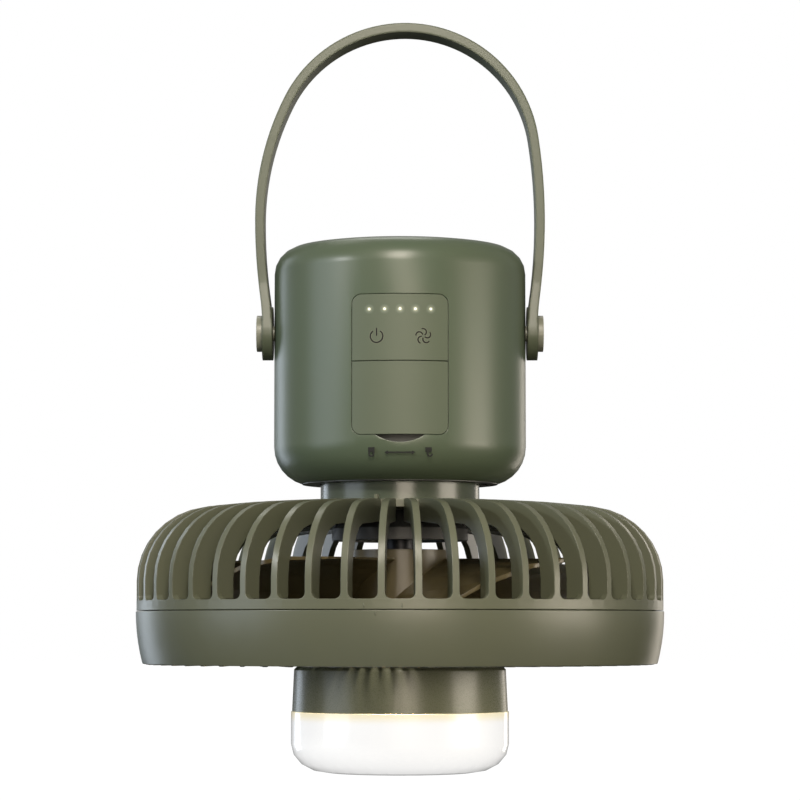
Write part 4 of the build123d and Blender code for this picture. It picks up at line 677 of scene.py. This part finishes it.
# %% Ticks beside the seam
def tick(name, angle, z_mm, radius_m, body):
    """A raised tick at an angle from the front, z_mm up, on a wall of radius_m."""
    rings, sides = 5, 16
    half_width, half_height, proud, sunk = 0.28, 0.8, 0.28, 0.05
    out = Vector((sin(radians(angle)), -cos(radians(angle)), 0.0))
    along = Vector((cos(radians(angle)), sin(radians(angle)), 0.0))
    centre = out * (radius_m - sunk * MM) + Vector((0, 0, z_mm * MM))
    verts = [centre + out * proud * MM]
    for ring in range(1, rings + 1):
        lean = pi / 2 * ring / rings
        for side in range(sides):
            turn = 2 * pi * side / sides
            verts.append(centre + out * proud * MM * cos(lean)
                         + along * half_width * MM * sin(lean) * cos(turn)
                         + Vector((0, 0, half_height * MM * sin(lean) * sin(turn))))
    faces = [(0, 1 + side, 1 + (side + 1) % sides) for side in range(sides)]
    for ring in range(rings - 1):
        inner = 1 + ring * sides
        outer = inner + sides
        faces += [(inner + side, outer + side, outer + (side + 1) % sides, inner + (side + 1) % sides)
                  for side in range(sides)]
    return new_piece(name, verts, faces, cage_abs, body)


ring_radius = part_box("front_guard")[1].x
band_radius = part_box("rear_guard")[1].x
seam_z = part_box("rear_guard")[0].z / MM
below_z, above_z = seam_z - 1.5, seam_z + 1.3
ticks = [
    tick("ring_tick", -4.9, below_z, ring_radius, "front_guard"),
    tick("band_tick_left", -7.2, above_z, band_radius, "fan_head"),
    tick("band_tick_right", 0.4, above_z, band_radius, "fan_head"),
]
print(len(ticks), "ticks at the seam, z", round(seam_z, 1), "mm")

# %% [markdown]
# ## The studio
#
# The fan hangs in a white room. A softbox in front and above gives the soft square highlight on the
# battery base and leaves its underside dark. A lower one in front lights the neck and the lantern's
# housing, which the base and the ring would otherwise shade. Warm ones stand to the right and a cool
# one to the left, two tall ones behind draw a cool and a warm line down the sides, and a small one
# gives the glint on the base's top edge. The one high behind lights the back. The world and the paper
# floor look white to the camera, but they are much darker as light and in reflections, so that the
# olive keeps its depth.

# %% World, floor and lights
room_light, room_shine = 0.09, 0.28  # how bright the white room is as light and in reflections
floor_drop = 0.30
floor_half = 30.0
paper_white, paper_dim = "#b8b8b6", "#4c4c4a"
paper_glow = 1.05
fade_near, fade_far = 0.4, 1.6  # the paper turns fully white between these distances from the fan
scene = bpy.context.scene
scene.view_settings.view_transform = "Standard"
world = bpy.data.worlds.new("white room")
scene.world = world
world.use_nodes = True
tree = world.node_tree
background = tree.nodes["Background"]
rays = add_node(tree, "ShaderNodeLightPath")
seen = add_node(tree, "ShaderNodeMath", None,
                {0: rays.outputs["Is Camera Ray"], 1: rays.outputs["Is Transmission Ray"]},
                operation="MAXIMUM")
dim = add_node(tree, "ShaderNodeMapRange", {"To Min": room_light, "To Max": room_shine},
               {"Value": rays.outputs["Is Glossy Ray"]})
level = add_node(tree, "ShaderNodeMath", None, {0: seen.outputs[0], 1: dim.outputs["Result"]},
                 operation="MAXIMUM")
background.inputs["Color"].default_value = linear("#ffffff")
tree.links.new(level.outputs[0], background.inputs["Strength"])

floor_mesh = bpy.data.meshes.new("paper_floor")
floor_corners = [(floor_half * x, floor_half * y, 0) for x, y in ((-1, -1), (1, -1), (1, 1), (-1, 1))]
floor_mesh.from_pydata(floor_corners, [], [(0, 1, 2, 3)])
floor = bpy.data.objects.new("paper_floor", floor_mesh)
floor.location.z = -floor_drop
scene.collection.objects.link(floor)
paper, tree, shader = new_material("white paper", paper_white, 0.9)
rays = add_node(tree, "ShaderNodeLightPath")
bounce = add_node(tree, "ShaderNodeMix", {6: linear(paper_dim), 7: linear(paper_white)},
                  {0: rays.outputs["Is Camera Ray"]}, data_type="RGBA")
tree.links.new(bounce.outputs[2], shader.inputs["Base Color"])
white = add_node(tree, "ShaderNodeEmission", {"Color": linear("#ffffff"), "Strength": paper_glow})
spot = add_node(tree, "ShaderNodeTexCoord")
reach = add_node(tree, "ShaderNodeVectorMath", None, {0: spot.outputs["Object"]}, operation="LENGTH")
fade = add_node(tree, "ShaderNodeMapRange",
                {"From Min": fade_near, "From Max": fade_far, "To Min": 0.7, "To Max": 1.0},
                {"Value": reach.outputs["Value"]}, interpolation_type="SMOOTHSTEP")
share = add_node(tree, "ShaderNodeMath", None,
                 {0: rays.outputs["Is Camera Ray"], 1: fade.outputs["Result"]}, operation="MULTIPLY")
blend = add_node(tree, "ShaderNodeMixShader", None,
                 {0: share.outputs[0], 1: shader.outputs[0], 2: white.outputs[0]})
tree.links.new(blend.outputs[0], tree.nodes["Material Output"].inputs["Surface"])
floor_mesh.materials.append(paper)


def softbox(name, place, target, size, watts, colour):
    """A rectangular lamp of size (width, height) in metres at place, aimed at target."""
    lamp = bpy.data.lights.new(name, "AREA")
    lamp.shape = "RECTANGLE"
    lamp.size, lamp.size_y = size
    lamp.energy = watts
    lamp.color = linear(colour)[:3]
    holder = bpy.data.objects.new(name, lamp)
    holder.location = place
    holder.rotation_euler = (Vector(target) - Vector(place)).to_track_quat("-Z", "Y").to_euler()
    scene.collection.objects.link(holder)


middle = (0.0, 0.0, 0.14)
softbox("front top", (0.0, -0.80, 0.66), (0.0, 0.0, 0.17), (0.24, 0.44), 7.5, "#fff4e6")
softbox("low front", (0.16, -1.25, 0.17), (0.0, 0.0, 0.07), (0.50, 0.30), 3.9, "#fff0dc")
softbox("warm key", (1.12, -0.38, 0.28), middle, (0.9, 0.8), 2.2, "#fff0dc")
softbox("low right", (1.15, -0.36, 0.10), (0.0, 0.0, 0.03), (0.60, 0.26), 4.0, "#fff4e2")
softbox("cool fill", (-1.15, -0.42, 0.30), middle, (0.7, 0.8), 4.2, "#e6f1ff")
softbox("cool rim", (-0.66, 0.70, 0.22), middle, (0.26, 0.8), 1.9, "#e6f2ff")
softbox("warm rim", (0.52, 0.83, 0.22), middle, (0.18, 0.8), 1.2, "#fff4e4")
softbox("back fill", (-0.20, 0.75, 1.35), middle, (0.8, 0.5), 4.5, "#fbfaf6")
softbox("glint", (-0.80, -0.60, 0.50), (-0.02, -0.04, 0.196), (0.09, 0.07), 2.6, "#ffffff")

lamp = bpy.data.lights.new("lantern light", "POINT")
lamp.energy = 0.55
lamp.color = linear("#ffd9a0")[:3]
lamp.shadow_soft_size = 18 * MM
glow_lamp = bpy.data.objects.new("lantern light", lamp)
glow_lamp.location = (0.0, 0.0, (bowl_low.z + bowl_high.z) / 2)
scene.collection.objects.link(glow_lamp)
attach(glow_lamp, "front_guard")
lamps = [thing for thing in scene.objects if thing.type == "LIGHT"]
print(len(lamps), "lights; the floor is", floor_drop, "m below")

# %% [markdown]
# ## The camera
#
# A long lens stands a little over a metre away, low down at the height of the cage, and is tilted up by
# a few degrees. So the round edges above the lens bow upwards, and those below it bow downwards.

# %% Place the camera
lens = bpy.data.cameras.new("long lens")
lens.lens = 132.4
lens.sensor_width = 36.0
camera = bpy.data.objects.new("camera", lens)
camera_away, camera_height, camera_tilt = 1.1485, 0.0557, 4.43  # metres and degrees
camera.location = (0.0, -camera_away, camera_height)
camera.rotation_euler = (radians(90.0 + camera_tilt), 0.0, 0.0)
scene.collection.objects.link(camera)
scene.camera = camera
print("the lens is", lens.lens, "mm")
